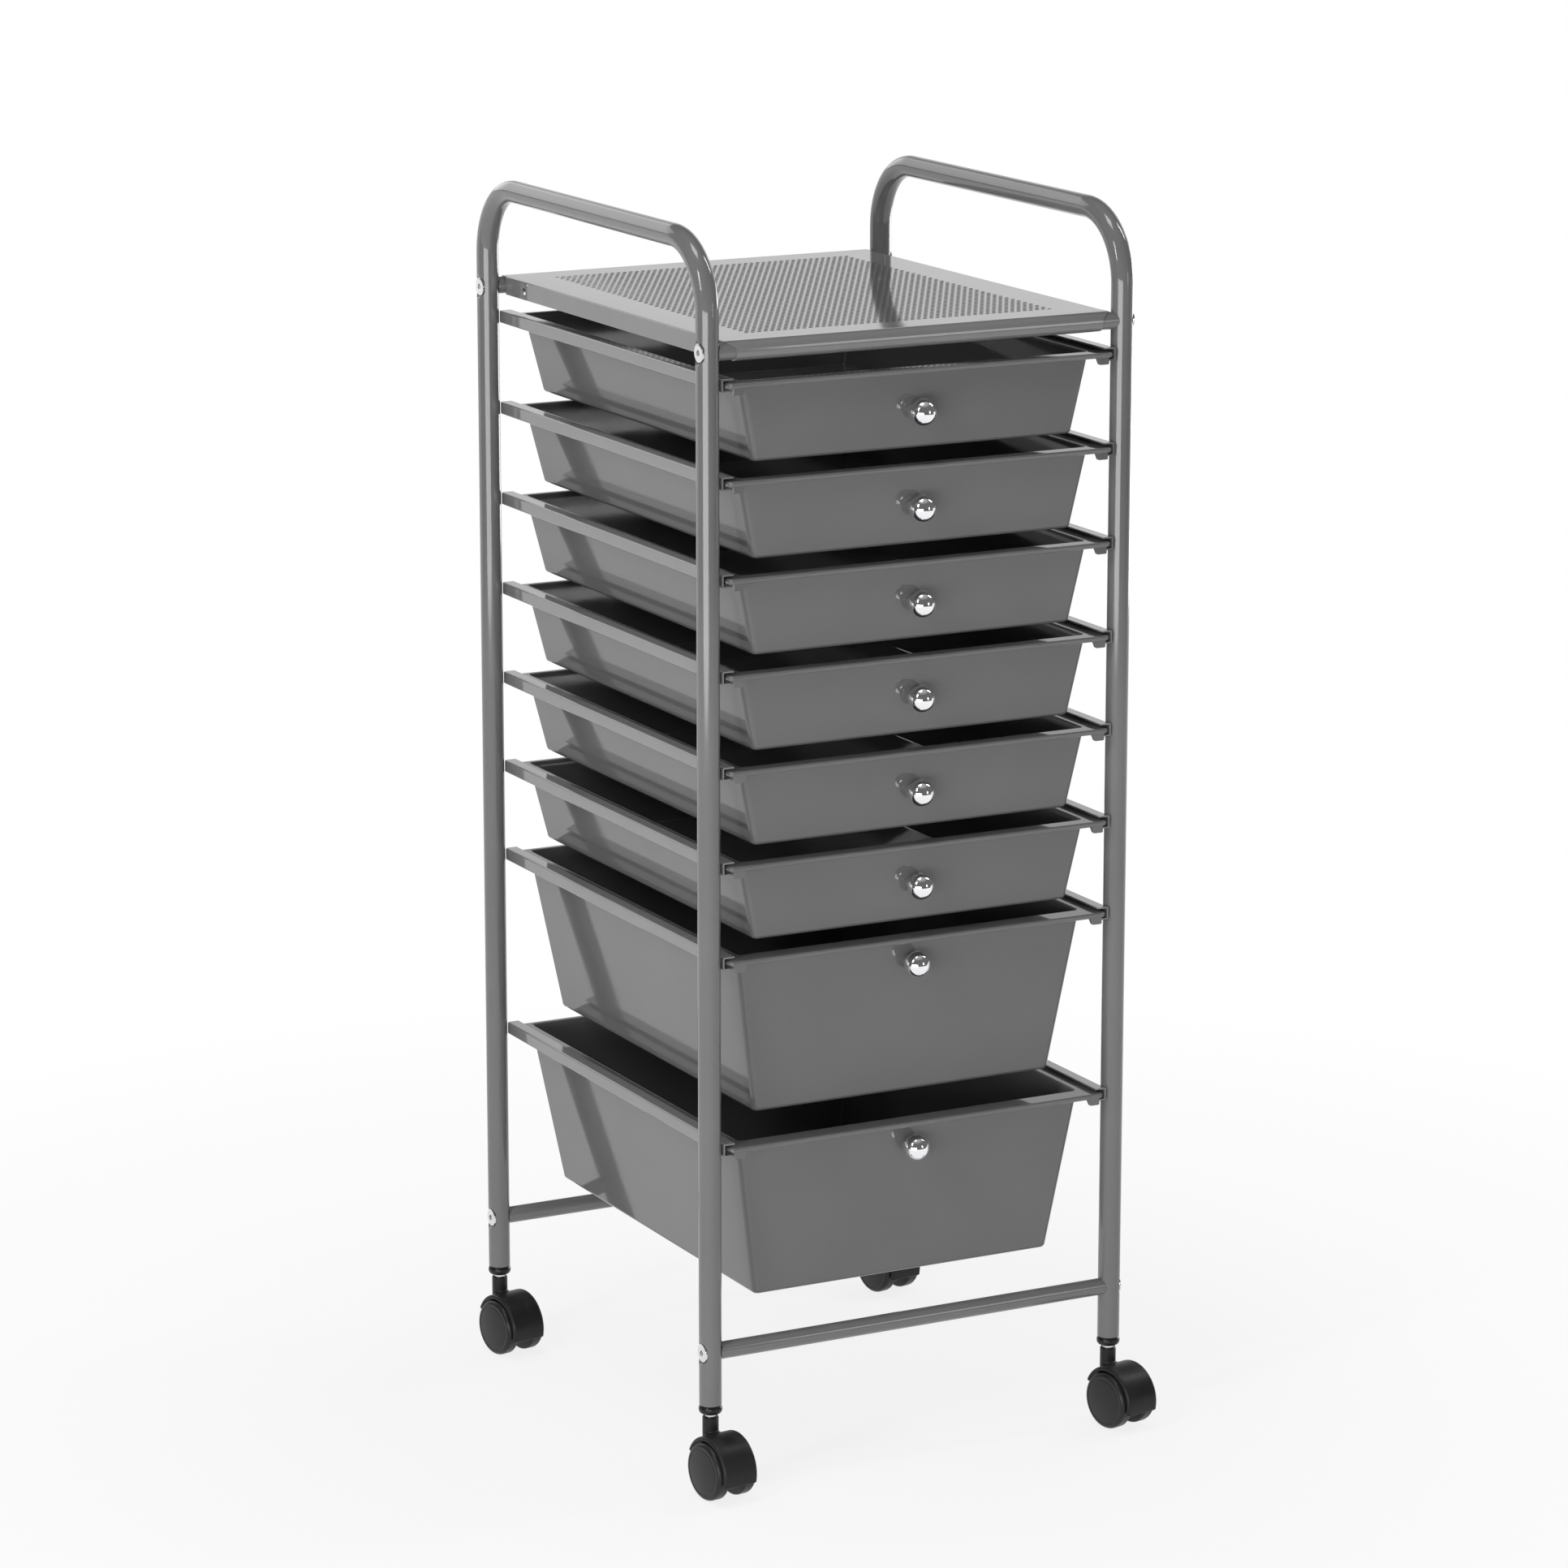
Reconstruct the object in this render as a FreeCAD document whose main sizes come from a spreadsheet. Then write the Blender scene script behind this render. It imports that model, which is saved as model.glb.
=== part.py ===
import FreeCAD, Part
import math
import os
from collections import namedtuple

import Sketcher

# Driving dimensions in millimetres and degrees. Heights are above the floor,
# and the drawer's own heights are measured down from the top of its rails.
DIMENSIONS = [
    ("frame_width", 314.0, "leg centre to leg centre across the cart"),
    ("frame_depth", 343.0, "leg centre to leg centre front to back"),
    ("setback", 16.0, "middle of the legs behind the origin, since the casters trail forwards"),
    ("tube_dia", 15.5, "side frame tube"),
    ("tube_wall", 1.2, "wall of every tube"),
    ("leg_bottom", 62.0, "lower end of the legs"),
    ("handle_height", 855.0, "centre line of the handle bar"),
    ("handle_bend", 48.0, "bend radius at the tube's centre line"),
    ("bar_dia", 12.0, "cross bar tube"),
    ("bar_low", 99.0, "axis of the lower cross bars"),
    ("bar_high", 783.5, "axis of the upper cross bars"),
    ("seat_gap", 0.05, "gap left between pieces that are clamped or welded together"),
    ("bolt_dia", 6.0, "frame bolt"),
    ("bolt_long", 31.0, "frame bolt under its head"),
    ("bolt_hole", 6.4, "bolt holes in the legs"),
    ("bolt_head_dia", 11.4, "button head"),
    ("bolt_head_high", 2.7, "button head"),
    ("bolt_socket", 4.0, "hex socket across flats"),
    ("bolt_socket_deep", 1.7, "hex socket"),
    ("insert_long", 20.0, "threaded insert in a cross bar end"),
    ("shelf_half", 146.0, "half width of the shelf"),
    ("shelf_sheet", 0.7, "shelf sheet thickness"),
    ("shelf_roll_half", 138.5, "half width of the rolled edges"),
    ("shelf_roll_turn", 50.0, "how far each roll passes the bar's lowest point"),
    ("shelf_side_half", 165.0, "half length of the turned-down side edges"),
    ("shelf_lip", 12.7, "depth of the turned-down side edges"),
    ("shelf_hole_dia", 4.8, "hole near each end of the side edges"),
    ("shelf_hole_out", 135.0, "that hole from the middle of the shelf"),
    ("mesh_step", 24.0, "openings of the shelf, middle to middle"),
    ("mesh_dia", 16.0, "openings of the shelf, each in place of some twenty small holes"),
    ("mesh_across", 10, "number of openings across the shelf"),
    ("mesh_along", 12, "number of openings front to back"),
    ("rail_high", 9.0, "channel height"),
    ("rail_flange", 8.5, "channel width over web and flange"),
    ("rail_sheet", 1.0, "channel sheet thickness"),
    ("rail_front", 177.0, "front end of the rails ahead of the middle of the legs"),
    ("rail_rear", 169.0, "rear end of the rails behind the middle of the legs"),
    ("rail_first", 766.0, "top of the highest rails"),
    ("rail_pitch", 65.0, "step from one level of rails to the next"),
    ("rim_drop", 1.6, "rim top below the rail top"),
    ("rim_half", 147.4, "half width of the drawer rim"),
    ("rim_front", 181.0, "front of the drawer rim ahead of the middle of the legs"),
    ("rim_rear", 174.0, "rear of the drawer rim"),
    ("rim_thick", 2.2, "rim flange thickness"),
    ("rim_nose", 3.7, "height of the rounded front rim"),
    ("runner_drop", 7.7, "lower edge of the runners below the rail top"),
    ("runner_thick", 2.2, "runner under each side of the rim"),
    ("runner_front", 170.0, "front end of the runners"),
    ("tab_inner", 132.3, "stop tabs, from the middle of the drawer"),
    ("tab_outer", 142.4, "stop tabs, from the middle of the drawer"),
    ("tab_drop", 10.9, "lower end of the stop tabs below the rail top"),
    ("tab_deep", 2.6, "stop tab front to back, ahead of the rails' front ends"),
    ("drawer_wall", 1.8, "drawer wall thickness"),
    ("mouth_half", 133.4, "half width of the drawer's mouth outside the wall"),
    ("mouth_rear", 170.5, "rear of the drawer's mouth outside the wall"),
    ("corner_front", 7.0, "upright corner radius at the drawer's front"),
    ("corner_rear", 22.0, "upright corner radius at the drawer's rear"),
    ("floor_fillet", 6.5, "radius round the drawer's floor"),
    ("shallow_deep", 58.3, "shallow drawer, outside depth below the rail top"),
    ("shallow_floor_half", 121.3, "half width of the shallow floor"),
    ("shallow_floor_front", 167.4, "front of the shallow floor"),
    ("shallow_floor_rear", 166.0, "rear of the shallow floor"),
    ("shallow_mouth_front", 170.4, "front of the shallow drawer's mouth"),
    ("shallow_knob_drop", 32.7, "knob axis below the rail top"),
    ("deep_deep", 117.5, "deep drawer, outside depth below the rail top"),
    ("deep_floor_half", 115.0, "half width of the deep floor"),
    ("deep_floor_front", 155.6, "front of the deep floor"),
    ("deep_floor_rear", 163.0, "rear of the deep floor"),
    ("deep_mouth_front", 166.7, "front of the deep drawer's mouth"),
    ("deep_knob_drop", 23.4, "knob axis below the rail top"),
    ("knob_pad_dia", 12.0, "flat pad under the knob"),
    ("knob_pad_proud", 0.9, "height of that pad on both sides of the wall"),
    ("knob_dia", 17.4, "ball of the knob"),
    ("knob_neck_dia", 9.5, "neck of the knob"),
    ("knob_neck_long", 2.0, "neck of the knob"),
    ("knob_hole_dia", 4.0, "screw hole in the knob"),
    ("knob_hole_deep", 9.5, "screw hole in the knob"),
    ("screw_dia", 3.9, "knob screw"),
    ("screw_long", 11.0, "knob screw under its head"),
    ("screw_head_dia", 7.6, "knob screw head"),
    ("screw_head_high", 2.5, "knob screw head"),
    ("screw_hole", 4.4, "screw hole in the drawer front"),
    ("socket_long", 26.0, "caster socket inside the leg"),
    ("collar_dia", 16.3, "collar of the socket"),
    ("collar_high", 5.0, "collar of the socket"),
    ("stem_dia", 8.0, "caster stem"),
    ("stem_foot", 43.0, "lower end of the stem"),
    ("stem_top", 84.0, "upper end of the stem"),
    ("running_gap", 0.05, "radial clearance of stems and axles in their bores"),
    ("caster_trail", 14.0, "axle ahead of the stem"),
    ("wheel_dia", 40.0, "caster wheel"),
    ("wheel_inner", 4.6, "inner face of a wheel from the caster's middle"),
    ("wheel_outer", 17.0, "outer face of a wheel from the caster's middle"),
    ("wheel_edge", 3.0, "edge radius of a wheel"),
    ("wheel_dome", 1.0, "rise of a wheel's outer face"),
    ("axle_dia", 5.0, "wheel axle"),
    ("axle_half", 15.0, "half length of the wheel axle"),
    ("hood_outer", 24.0, "outer radius of the hood about the axle"),
    ("hood_inner", 21.2, "inner radius of the hood about the axle"),
    ("hood_half", 13.25, "half width of the hood"),
    ("hood_front_low", 11.5, "front edge of the hood below the axle"),
    ("hood_rear_high", 10.0, "rear edge of the hood above the axle"),
    ("web_half", 4.0, "half thickness of the caster's middle web"),
    ("neck_dia", 11.2, "caster neck"),
    ("neck_foot", 40.0, "lower end of the neck outside the web"),
    ("neck_top", 53.5, "upper end of the neck"),
    ("turn_front_left", 7.0, "turn of a caster about its stem in degrees, seen from above"),
    ("turn_front_right", 11.0, "turn of a caster about its stem in degrees, seen from above"),
    ("turn_rear_left", 10.0, "turn of a caster about its stem in degrees, seen from above"),
    ("turn_rear_right", 9.0, "turn of a caster about its stem in degrees, seen from above"),
]

SHALLOW_LEVELS = 6
LEVELS = 8


class Size:
    """A length that knows its value and the sheet expression that gives it."""

    def __init__(self, value, text):
        self.value = value
        self.text = text

    def __add__(self, other):
        return combine(self, "+", other)

    def __radd__(self, other):
        return combine(other, "+", self)

    def __sub__(self, other):
        return combine(self, "-", other)

    def __rsub__(self, other):
        return combine(other, "-", self)

    def __mul__(self, other):
        return combine(self, "*", other)

    def __rmul__(self, other):
        return combine(other, "*", self)

    def __truediv__(self, other):
        return combine(self, "/", other)

    def __neg__(self):
        return combine(0, "-", self)


def as_size(thing):
    """Wraps a plain number so that it can stand beside sheet values."""
    if isinstance(thing, Size):
        return thing
    return Size(float(thing), str(float(thing)))


def combine(first, sign, second):
    """Joins two sizes with one of the four signs, in value and in text."""
    a = as_size(first)
    b = as_size(second)
    values = {
        "+": a.value + b.value,
        "-": a.value - b.value,
        "*": a.value * b.value,
        "/": a.value / b.value if b.value else 0.0,
    }
    return Size(values[sign], f"({a.text} {sign} {b.text})")


def root(inside):
    """Square root of a size."""
    return Size(inside.value ** 0.5, f"sqrt({inside.text})")


def sine(angle):
    """Sine of an angle that the sheet holds as a plain number of degrees."""
    return Size(math.sin(math.radians(angle.value)), f"sin({angle.text} * 1 deg)")


def cosine(angle):
    """Cosine of an angle that the sheet holds as a plain number of degrees."""
    return Size(math.cos(math.radians(angle.value)), f"cos({angle.text} * 1 deg)")


# A corner of an outline, and a corner that an arc leads to, past a point near its middle.
Corner = namedtuple("Corner", "x y")
Bend = namedtuple("Bend", "x y via_x via_y radius")

doc = FreeCAD.newDocument("drawer_cart")
sheet = doc.addObject("Spreadsheet::Sheet", "dims")
for row, (alias, number, note) in enumerate(DIMENSIONS, start=1):
    sheet.set(f"A{row}", note)
    sheet.set(f"B{row}", str(number))
    sheet.setAlias(f"B{row}", alias)
doc.recompute()
DRIVING = {alias: Size(number, f"dims.{alias}") for alias, number, note in DIMENSIONS}
pieces = []


def d(alias):
    """A driving dimension by its name in the sheet."""
    return DRIVING[alias]


def bind(thing, path, size):
    """Ties one property of an object to the sheet."""
    thing.setExpression(path, as_size(size).text)


def place(thing, x=0, y=0, z=0):
    """Ties an object's position to the sheet, y counted from the middle of the legs."""
    bind(thing, "Placement.Base.x", x)
    bind(thing, "Placement.Base.y", d("setback") + y)
    bind(thing, "Placement.Base.z", z)


def keep(thing, label):
    """Puts an object on the list of pieces that are written out."""
    thing.Label = label
    pieces.append(thing)
    return thing


def new_body(name):
    return doc.addObject("PartDesign::Body", name)


def new_sketch(body, role, name, offset=0):
    """A sketch on one of the body's own planes, moved along the plane's normal."""
    sketch = body.newObject("Sketcher::SketchObject", name)
    plane = next(f for f in body.Origin.OriginFeatures if f.Role == role)
    sketch.AttachmentSupport = [(plane, "")]
    sketch.MapMode = "FlatFace"
    bind(sketch, "AttachmentOffset.Base.z", offset)
    return sketch


def lock(sketch, kind, where, size):
    """Adds a sketch constraint whose value comes from the sheet."""
    wanted = as_size(size)
    index = sketch.addConstraint(Sketcher.Constraint(kind, *where, wanted.value))
    bind(sketch, f"Constraints[{index}]", wanted)


def spot(step):
    return FreeCAD.Vector(as_size(step.x).value, as_size(step.y).value, 0)


def outline(sketch, steps, closed=True):
    """Draws lines and arcs from corner to corner, every corner tied to the sheet."""
    targets = steps[1:] + steps[:1] if closed else steps[1:]
    edges = []
    for start, end in zip(steps, targets):
        if isinstance(end, Bend):
            middle = FreeCAD.Vector(as_size(end.via_x).value, as_size(end.via_y).value, 0)
            index = sketch.addGeometry(Part.Arc(spot(start), middle, spot(end)))
            lock(sketch, "Radius", (index,), end.radius)
        else:
            index = sketch.addGeometry(Part.LineSegment(spot(start), spot(end)))
        from_start = sketch.getPoint(index, 1).distanceToPoint(spot(start))
        from_end = sketch.getPoint(index, 1).distanceToPoint(spot(end))
        edges.append((index, 1, 2) if from_start < from_end else (index, 2, 1))
    for (index, first, last), start in zip(edges, steps):
        lock(sketch, "DistanceX", (-1, 1, index, first), start.x)
        lock(sketch, "DistanceY", (-1, 1, index, first), start.y)
    following = edges[1:] + edges[:1] if closed else edges[1:]
    for (index, first, last), (after, after_first, after_last) in zip(edges, following):
        sketch.addConstraint(Sketcher.Constraint("Coincident", index, last, after, after_first))
    if not closed:
        index, first, last = edges[-1]
        lock(sketch, "DistanceX", (-1, 1, index, last), steps[-1].x)
        lock(sketch, "DistanceY", (-1, 1, index, last), steps[-1].y)


def ring(sketch, x, y, radius):
    """Draws a circle tied to the sheet."""
    centre = FreeCAD.Vector(as_size(x).value, as_size(y).value, 0)
    circle = Part.Circle(centre, FreeCAD.Vector(0, 0, 1), as_size(radius).value)
    index = sketch.addGeometry(circle)
    lock(sketch, "DistanceX", (-1, 1, index, 3), x)
    lock(sketch, "DistanceY", (-1, 1, index, 3), y)
    lock(sketch, "Radius", (index,), radius)


def rectangle(sketch, left, right, low, high):
    outline(sketch, [Corner(left, low), Corner(right, low), Corner(right, high), Corner(left, high)])


def pad(body, sketch, name, length, symmetric=False, backwards=False):
    """Extrudes a sketch by a length from the sheet."""
    feature = body.newObject("PartDesign::Pad", name)
    feature.Profile = sketch
    bind(feature, "Length", length)
    feature.SideType = "Symmetric" if symmetric else "One side"
    feature.Reversed = backwards
    return feature


def pocket(body, sketch, name, length, symmetric=False, backwards=False):
    """Cuts a sketch into the body by a length from the sheet."""
    feature = body.newObject("PartDesign::Pocket", name)
    feature.Profile = sketch
    bind(feature, "Length", length)
    feature.SideType = "Symmetric" if symmetric else "One side"
    feature.Reversed = backwards
    return feature


def revolve(body, sketch, axis, name):
    """Turns a sketch through a full circle about one of its own axes."""
    feature = body.newObject("PartDesign::Revolution", name)
    feature.Profile = sketch
    feature.ReferenceAxis = (sketch, [axis])
    return feature


def fillet(body, base, name, radius, wanted):
    """Rounds the edges of the body that the test picks."""
    doc.recompute()
    edges = [f"Edge{n}" for n, edge in enumerate(base.Shape.Edges, start=1) if wanted(edge)]
    feature = body.newObject("PartDesign::Fillet", name)
    feature.Base = (base, edges)
    bind(feature, "Radius", radius)
    return feature


def bundle(label, members):
    """Groups separate solids that share one node."""
    group = doc.addObject("Part::Compound", label)
    group.Links = members
    return keep(group, label)


half_width = d("frame_width") / 2
half_depth = d("frame_depth") / 2
tube_radius = d("tube_dia") / 2
bar_radius = d("bar_dia") / 2
leg_face = half_width - tube_radius - d("seat_gap")
DEPTH_SIDES = {"front": -half_depth, "rear": half_depth}
BAR_HEIGHTS = {"top": d("bar_high"), "bottom": d("bar_low")}
WIDTH_SIDES = {"left": -1, "right": 1}


# Side frames: one bent tube each, with holes for the frame bolts.
def side_frame(side, sign):
    body = new_body(f"side_frame_{side}")
    bend_low = d("handle_height") - d("handle_bend")
    bend_out = half_depth - d("handle_bend")
    arc_out = bend_out + d("handle_bend") * 0.7071
    arc_high = bend_low + d("handle_bend") * 0.7071
    path = new_sketch(body, "YZ_Plane", f"path_{side}")
    outline(path, [
        Corner(-half_depth, d("leg_bottom")),
        Corner(-half_depth, bend_low),
        Bend(-bend_out, d("handle_height"), -arc_out, arc_high, d("handle_bend")),
        Corner(bend_out, d("handle_height")),
        Bend(half_depth, bend_low, arc_out, arc_high, d("handle_bend")),
        Corner(half_depth, d("leg_bottom")),
    ], closed=False)
    section = new_sketch(body, "XY_Plane", f"section_{side}", d("leg_bottom"))
    ring(section, 0, -half_depth, tube_radius)
    ring(section, 0, -half_depth, tube_radius - d("tube_wall"))
    pipe = body.newObject("PartDesign::AdditivePipe", f"tube_{side}")
    pipe.Profile = section
    pipe.Spine = path
    holes = new_sketch(body, "YZ_Plane", f"holes_{side}")
    for depth_side in DEPTH_SIDES.values():
        for height in BAR_HEIGHTS.values():
            ring(holes, depth_side, height, d("bolt_hole") / 2)
    pocket(body, holes, f"bolt_holes_{side}", d("tube_dia") * 2, symmetric=True)
    place(body, x=half_width * sign)
    keep(body, f"side_frame_{side}")


# Cross bars, the inserts in their ends and the bolts that hold them.
def crossbar(depth_name, height_name):
    label = f"crossbar_{depth_name}_{height_name}"
    body = new_body(label)
    section = new_sketch(body, "YZ_Plane", f"section_{label}")
    ring(section, 0, 0, bar_radius)
    ring(section, 0, 0, bar_radius - d("tube_wall"))
    pad(body, section, f"tube_{label}", leg_face * 2, symmetric=True)
    place(body, 0, DEPTH_SIDES[depth_name], BAR_HEIGHTS[height_name])
    keep(body, label)


def crossbar_insert(name, sign, depth, height):
    body = new_body(f"insert_{name}")
    section = new_sketch(body, "YZ_Plane", f"section_insert_{name}")
    ring(section, 0, 0, bar_radius - d("tube_wall") - d("seat_gap"))
    ring(section, 0, 0, d("bolt_dia") / 2 + d("seat_gap"))
    pad(body, section, f"plug_{name}", d("insert_long"), symmetric=True)
    place(body, (leg_face - d("insert_long") / 2) * sign, depth, height)
    return body


def frame_bolt(name, sign, depth, height):
    body = new_body(f"bolt_{name}")
    head_radius = d("bolt_head_dia") / 2
    crown = d("bolt_head_dia") * 0.32
    profile = new_sketch(body, "XY_Plane", f"profile_bolt_{name}")
    outline(profile, [
        Corner(-d("bolt_long"), 0),
        Corner(-d("bolt_long"), d("bolt_dia") / 2),
        Corner(0, d("bolt_dia") / 2),
        Corner(0, head_radius),
        Corner(d("bolt_head_high") * 0.35, head_radius),
        Bend(d("bolt_head_high"), crown, d("bolt_head_high") * 0.83, head_radius * 0.87, head_radius * 0.6),
        Corner(d("bolt_head_high"), 0),
    ])
    revolve(body, profile, "H_Axis", f"turned_{name}")
    flat = d("bolt_socket") / 2
    point = flat * 1.1547
    hexagon = new_sketch(body, "YZ_Plane", f"hexagon_{name}", d("bolt_head_high"))
    outline(hexagon, [
        Corner(point, 0),
        Corner(point / 2, flat),
        Corner(-point / 2, flat),
        Corner(-point, 0),
        Corner(-point / 2, -flat),
        Corner(point / 2, -flat),
    ])
    pocket(body, hexagon, f"socket_{name}", d("bolt_socket_deep"))
    body.Placement.Rotation = FreeCAD.Rotation(FreeCAD.Vector(0, 0, 1), 0 if sign > 0 else 180)
    place(body, (half_width + tube_radius + d("seat_gap")) * sign, depth, height)
    return body


def frame_fastening():
    """Eight bolts and eight inserts, one of each at every cross bar end."""
    inserts = []
    bolts = []
    for depth_name, depth in DEPTH_SIDES.items():
        for height_name, height in BAR_HEIGHTS.items():
            crossbar(depth_name, height_name)
            for side, sign in WIDTH_SIDES.items():
                name = f"{depth_name}_{height_name}_{side}"
                inserts.append(crossbar_insert(name, sign, depth, height))
                bolts.append(frame_bolt(name, sign, depth, height))
    bundle("crossbar_inserts", inserts)
    bundle("frame_bolts", bolts)


# Top shelf: a sheet rolled round the upper bars at front and rear, with side edges turned down.
def top_shelf():
    body = new_body("top_shelf")
    inner = bar_radius + d("seat_gap")
    outer = inner + d("shelf_sheet")
    tail_in = sine(d("shelf_roll_turn"))
    tail_down = cosine(d("shelf_roll_turn"))
    profile = new_sketch(body, "YZ_Plane", "shelf_section")
    outline(profile, [
        Corner(-half_depth, outer),
        Bend(-half_depth + outer * tail_in, -outer * tail_down, -half_depth - outer, 0, outer),
        Corner(-half_depth + inner * tail_in, -inner * tail_down),
        Bend(-half_depth, inner, -half_depth - inner, 0, inner),
        Corner(half_depth, inner),
        Bend(half_depth - inner * tail_in, -inner * tail_down, half_depth + inner, 0, inner),
        Corner(half_depth - outer * tail_in, -outer * tail_down),
        Bend(half_depth, outer, half_depth + outer, 0, outer),
    ])
    pad(body, profile, "rolled_sheet", d("shelf_roll_half") * 2, symmetric=True)
    plan = new_sketch(body, "XY_Plane", "shelf_plan", outer)
    rectangle(plan, -d("shelf_half"), d("shelf_half"), -half_depth, half_depth)
    pad(body, plan, "full_width_sheet", d("shelf_sheet"), backwards=True)
    edges = new_sketch(body, "XZ_Plane", "shelf_edges")
    for sign in WIDTH_SIDES.values():
        rectangle(edges, d("shelf_half") * sign, (d("shelf_half") - d("shelf_sheet")) * sign,
                  outer - d("shelf_lip"), outer - d("shelf_sheet") / 2)
    pad(body, edges, "turned_down_edges", d("shelf_side_half") * 2, symmetric=True)
    holes = new_sketch(body, "YZ_Plane", "edge_holes")
    for sign in (-1, 1):
        ring(holes, d("shelf_hole_out") * sign, 0, d("shelf_hole_dia") / 2)
    pocket(body, holes, "edge_holes_cut", d("shelf_half") * 2 + 2, symmetric=True)
    mesh = new_sketch(body, "XY_Plane", "mesh_opening", outer)
    ring(mesh, -d("mesh_step") * (d("mesh_across") - 1) / 2, -d("mesh_step") * (d("mesh_along") - 1) / 2,
         d("mesh_dia") / 2)
    first = pocket(body, mesh, "mesh_opening_cut", d("shelf_sheet") * 2, symmetric=True)
    field = body.newObject("PartDesign::LinearPattern", "mesh_field")
    field.Originals = [first]
    field.Direction = (mesh, ["H_Axis"])
    field.Direction2 = (mesh, ["V_Axis"])
    field.Mode = field.Mode2 = "Spacing"
    for path in ("Offset", "Offset2"):
        bind(field, path, d("mesh_step"))
    bind(field, "Occurrences", d("mesh_across"))
    bind(field, "Occurrences2", d("mesh_along"))
    body.Tip = field
    place(body, z=d("bar_high"))
    keep(body, "top_shelf")


# Rails: a pair of channels open towards the middle, at each level.
def rail_top(level):
    """Height of the rails of one level: the last level lies two steps below the one above it."""
    steps = level - 1 if level < LEVELS else level
    return d("rail_first") - d("rail_pitch") * steps


def rail_pair(level):
    label = f"rails_level_{level}"
    bottom = rail_top(level) - d("rail_high")
    length = d("rail_front") + d("rail_rear")
    block = doc.addObject("Part::Box", f"rail_block_{level}")
    bind(block, "Length", d("rail_flange"))
    bind(block, "Width", length)
    bind(block, "Height", d("rail_high"))
    place(block, -leg_face, -d("rail_front"), bottom)
    hollow = doc.addObject("Part::Box", f"rail_hollow_{level}")
    bind(hollow, "Length", d("rail_flange"))
    bind(hollow, "Width", length + 2)
    bind(hollow, "Height", d("rail_high") - d("rail_sheet") * 2)
    place(hollow, d("rail_sheet") - leg_face, -d("rail_front") - 1, bottom + d("rail_sheet"))
    left = doc.addObject("Part::Cut", f"rail_left_{level}")
    left.Base = block
    left.Tool = hollow
    right = doc.addObject("Part::Mirroring", f"rail_right_{level}")
    right.Source = left
    right.Normal = FreeCAD.Vector(1, 0, 0)
    bundle(label, [left, right])


# Drawers: tapered tubs that hang by their rims in the rails.
def rounded_loop(sketch, half, front, rear, front_radius, rear_radius):
    """A rectangle with rounded corners, drawn as four lines and four quarter arcs."""
    front_cut = front_radius * 0.2929
    rear_cut = rear_radius * 0.2929
    outline(sketch, [
        Bend(-half + front_radius, front, -half + front_cut, front + front_cut, front_radius),
        Corner(half - front_radius, front),
        Bend(half, front + front_radius, half - front_cut, front + front_cut, front_radius),
        Corner(half, rear - rear_radius),
        Bend(half - rear_radius, rear, half - rear_cut, rear - rear_cut, rear_radius),
        Corner(-half + rear_radius, rear),
        Bend(-half, rear - rear_radius, -half + rear_cut, rear - rear_cut, rear_radius),
        Corner(-half, front + front_radius),
    ])


def runs_down(edge, front):
    """True for an upright corner edge at the front or at the rear."""
    first, last = [vertex.Point for vertex in edge.Vertexes]
    return abs(first.z - last.z) > 1 and (first.y < 0) == front


def drawer_tub(body, level, kind):
    """The tapered tub: a sloping block with rounded corners, hollowed from above."""
    top = -d("rim_drop")
    floor = -d(f"{kind}_deep")
    floor_half = d(f"{kind}_floor_half")
    front_view = new_sketch(body, "XZ_Plane", f"front_view_{level}")
    outline(front_view, [
        Corner(-d("mouth_half"), top),
        Corner(d("mouth_half"), top),
        Corner(floor_half, floor),
        Corner(-floor_half, floor),
    ])
    pad(body, front_view, f"block_{level}", d("rim_front") * 2, symmetric=True)
    side_view = new_sketch(body, "YZ_Plane", f"side_view_{level}")
    beyond = d("rim_front") + 1
    for sign, wall in ((-1, "front"), (1, "rear")):
        mouth = d("mouth_rear") if wall == "rear" else d(f"{kind}_mouth_front")
        outline(side_view, [
            Corner(beyond * sign, top),
            Corner(mouth * sign, top),
            Corner(d(f"{kind}_floor_{wall}") * sign, floor),
            Corner(beyond * sign, floor),
        ])
    block = pocket(body, side_view, f"end_slopes_{level}", d("mouth_half") * 2 + 2, symmetric=True)
    rear = fillet(body, block, f"rear_corners_{level}", d("corner_rear"),
                  lambda edge: runs_down(edge, False))
    front = fillet(body, rear, f"front_corners_{level}", d("corner_front"),
                   lambda edge: runs_down(edge, True))
    under = fillet(body, front, f"floor_edge_{level}", d("floor_fillet"),
                   lambda edge: edge.BoundBox.ZMax < floor.value + 0.01)
    doc.recompute()
    mouth_face = next(f"Face{n}" for n, face in enumerate(under.Shape.Faces, start=1)
                      if face.CenterOfMass.z > top.value - 0.01)
    shell = body.newObject("PartDesign::Thickness", f"shell_{level}")
    shell.Base = (under, [mouth_face])
    bind(shell, "Value", d("drawer_wall"))
    shell.Reversed = True


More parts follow.
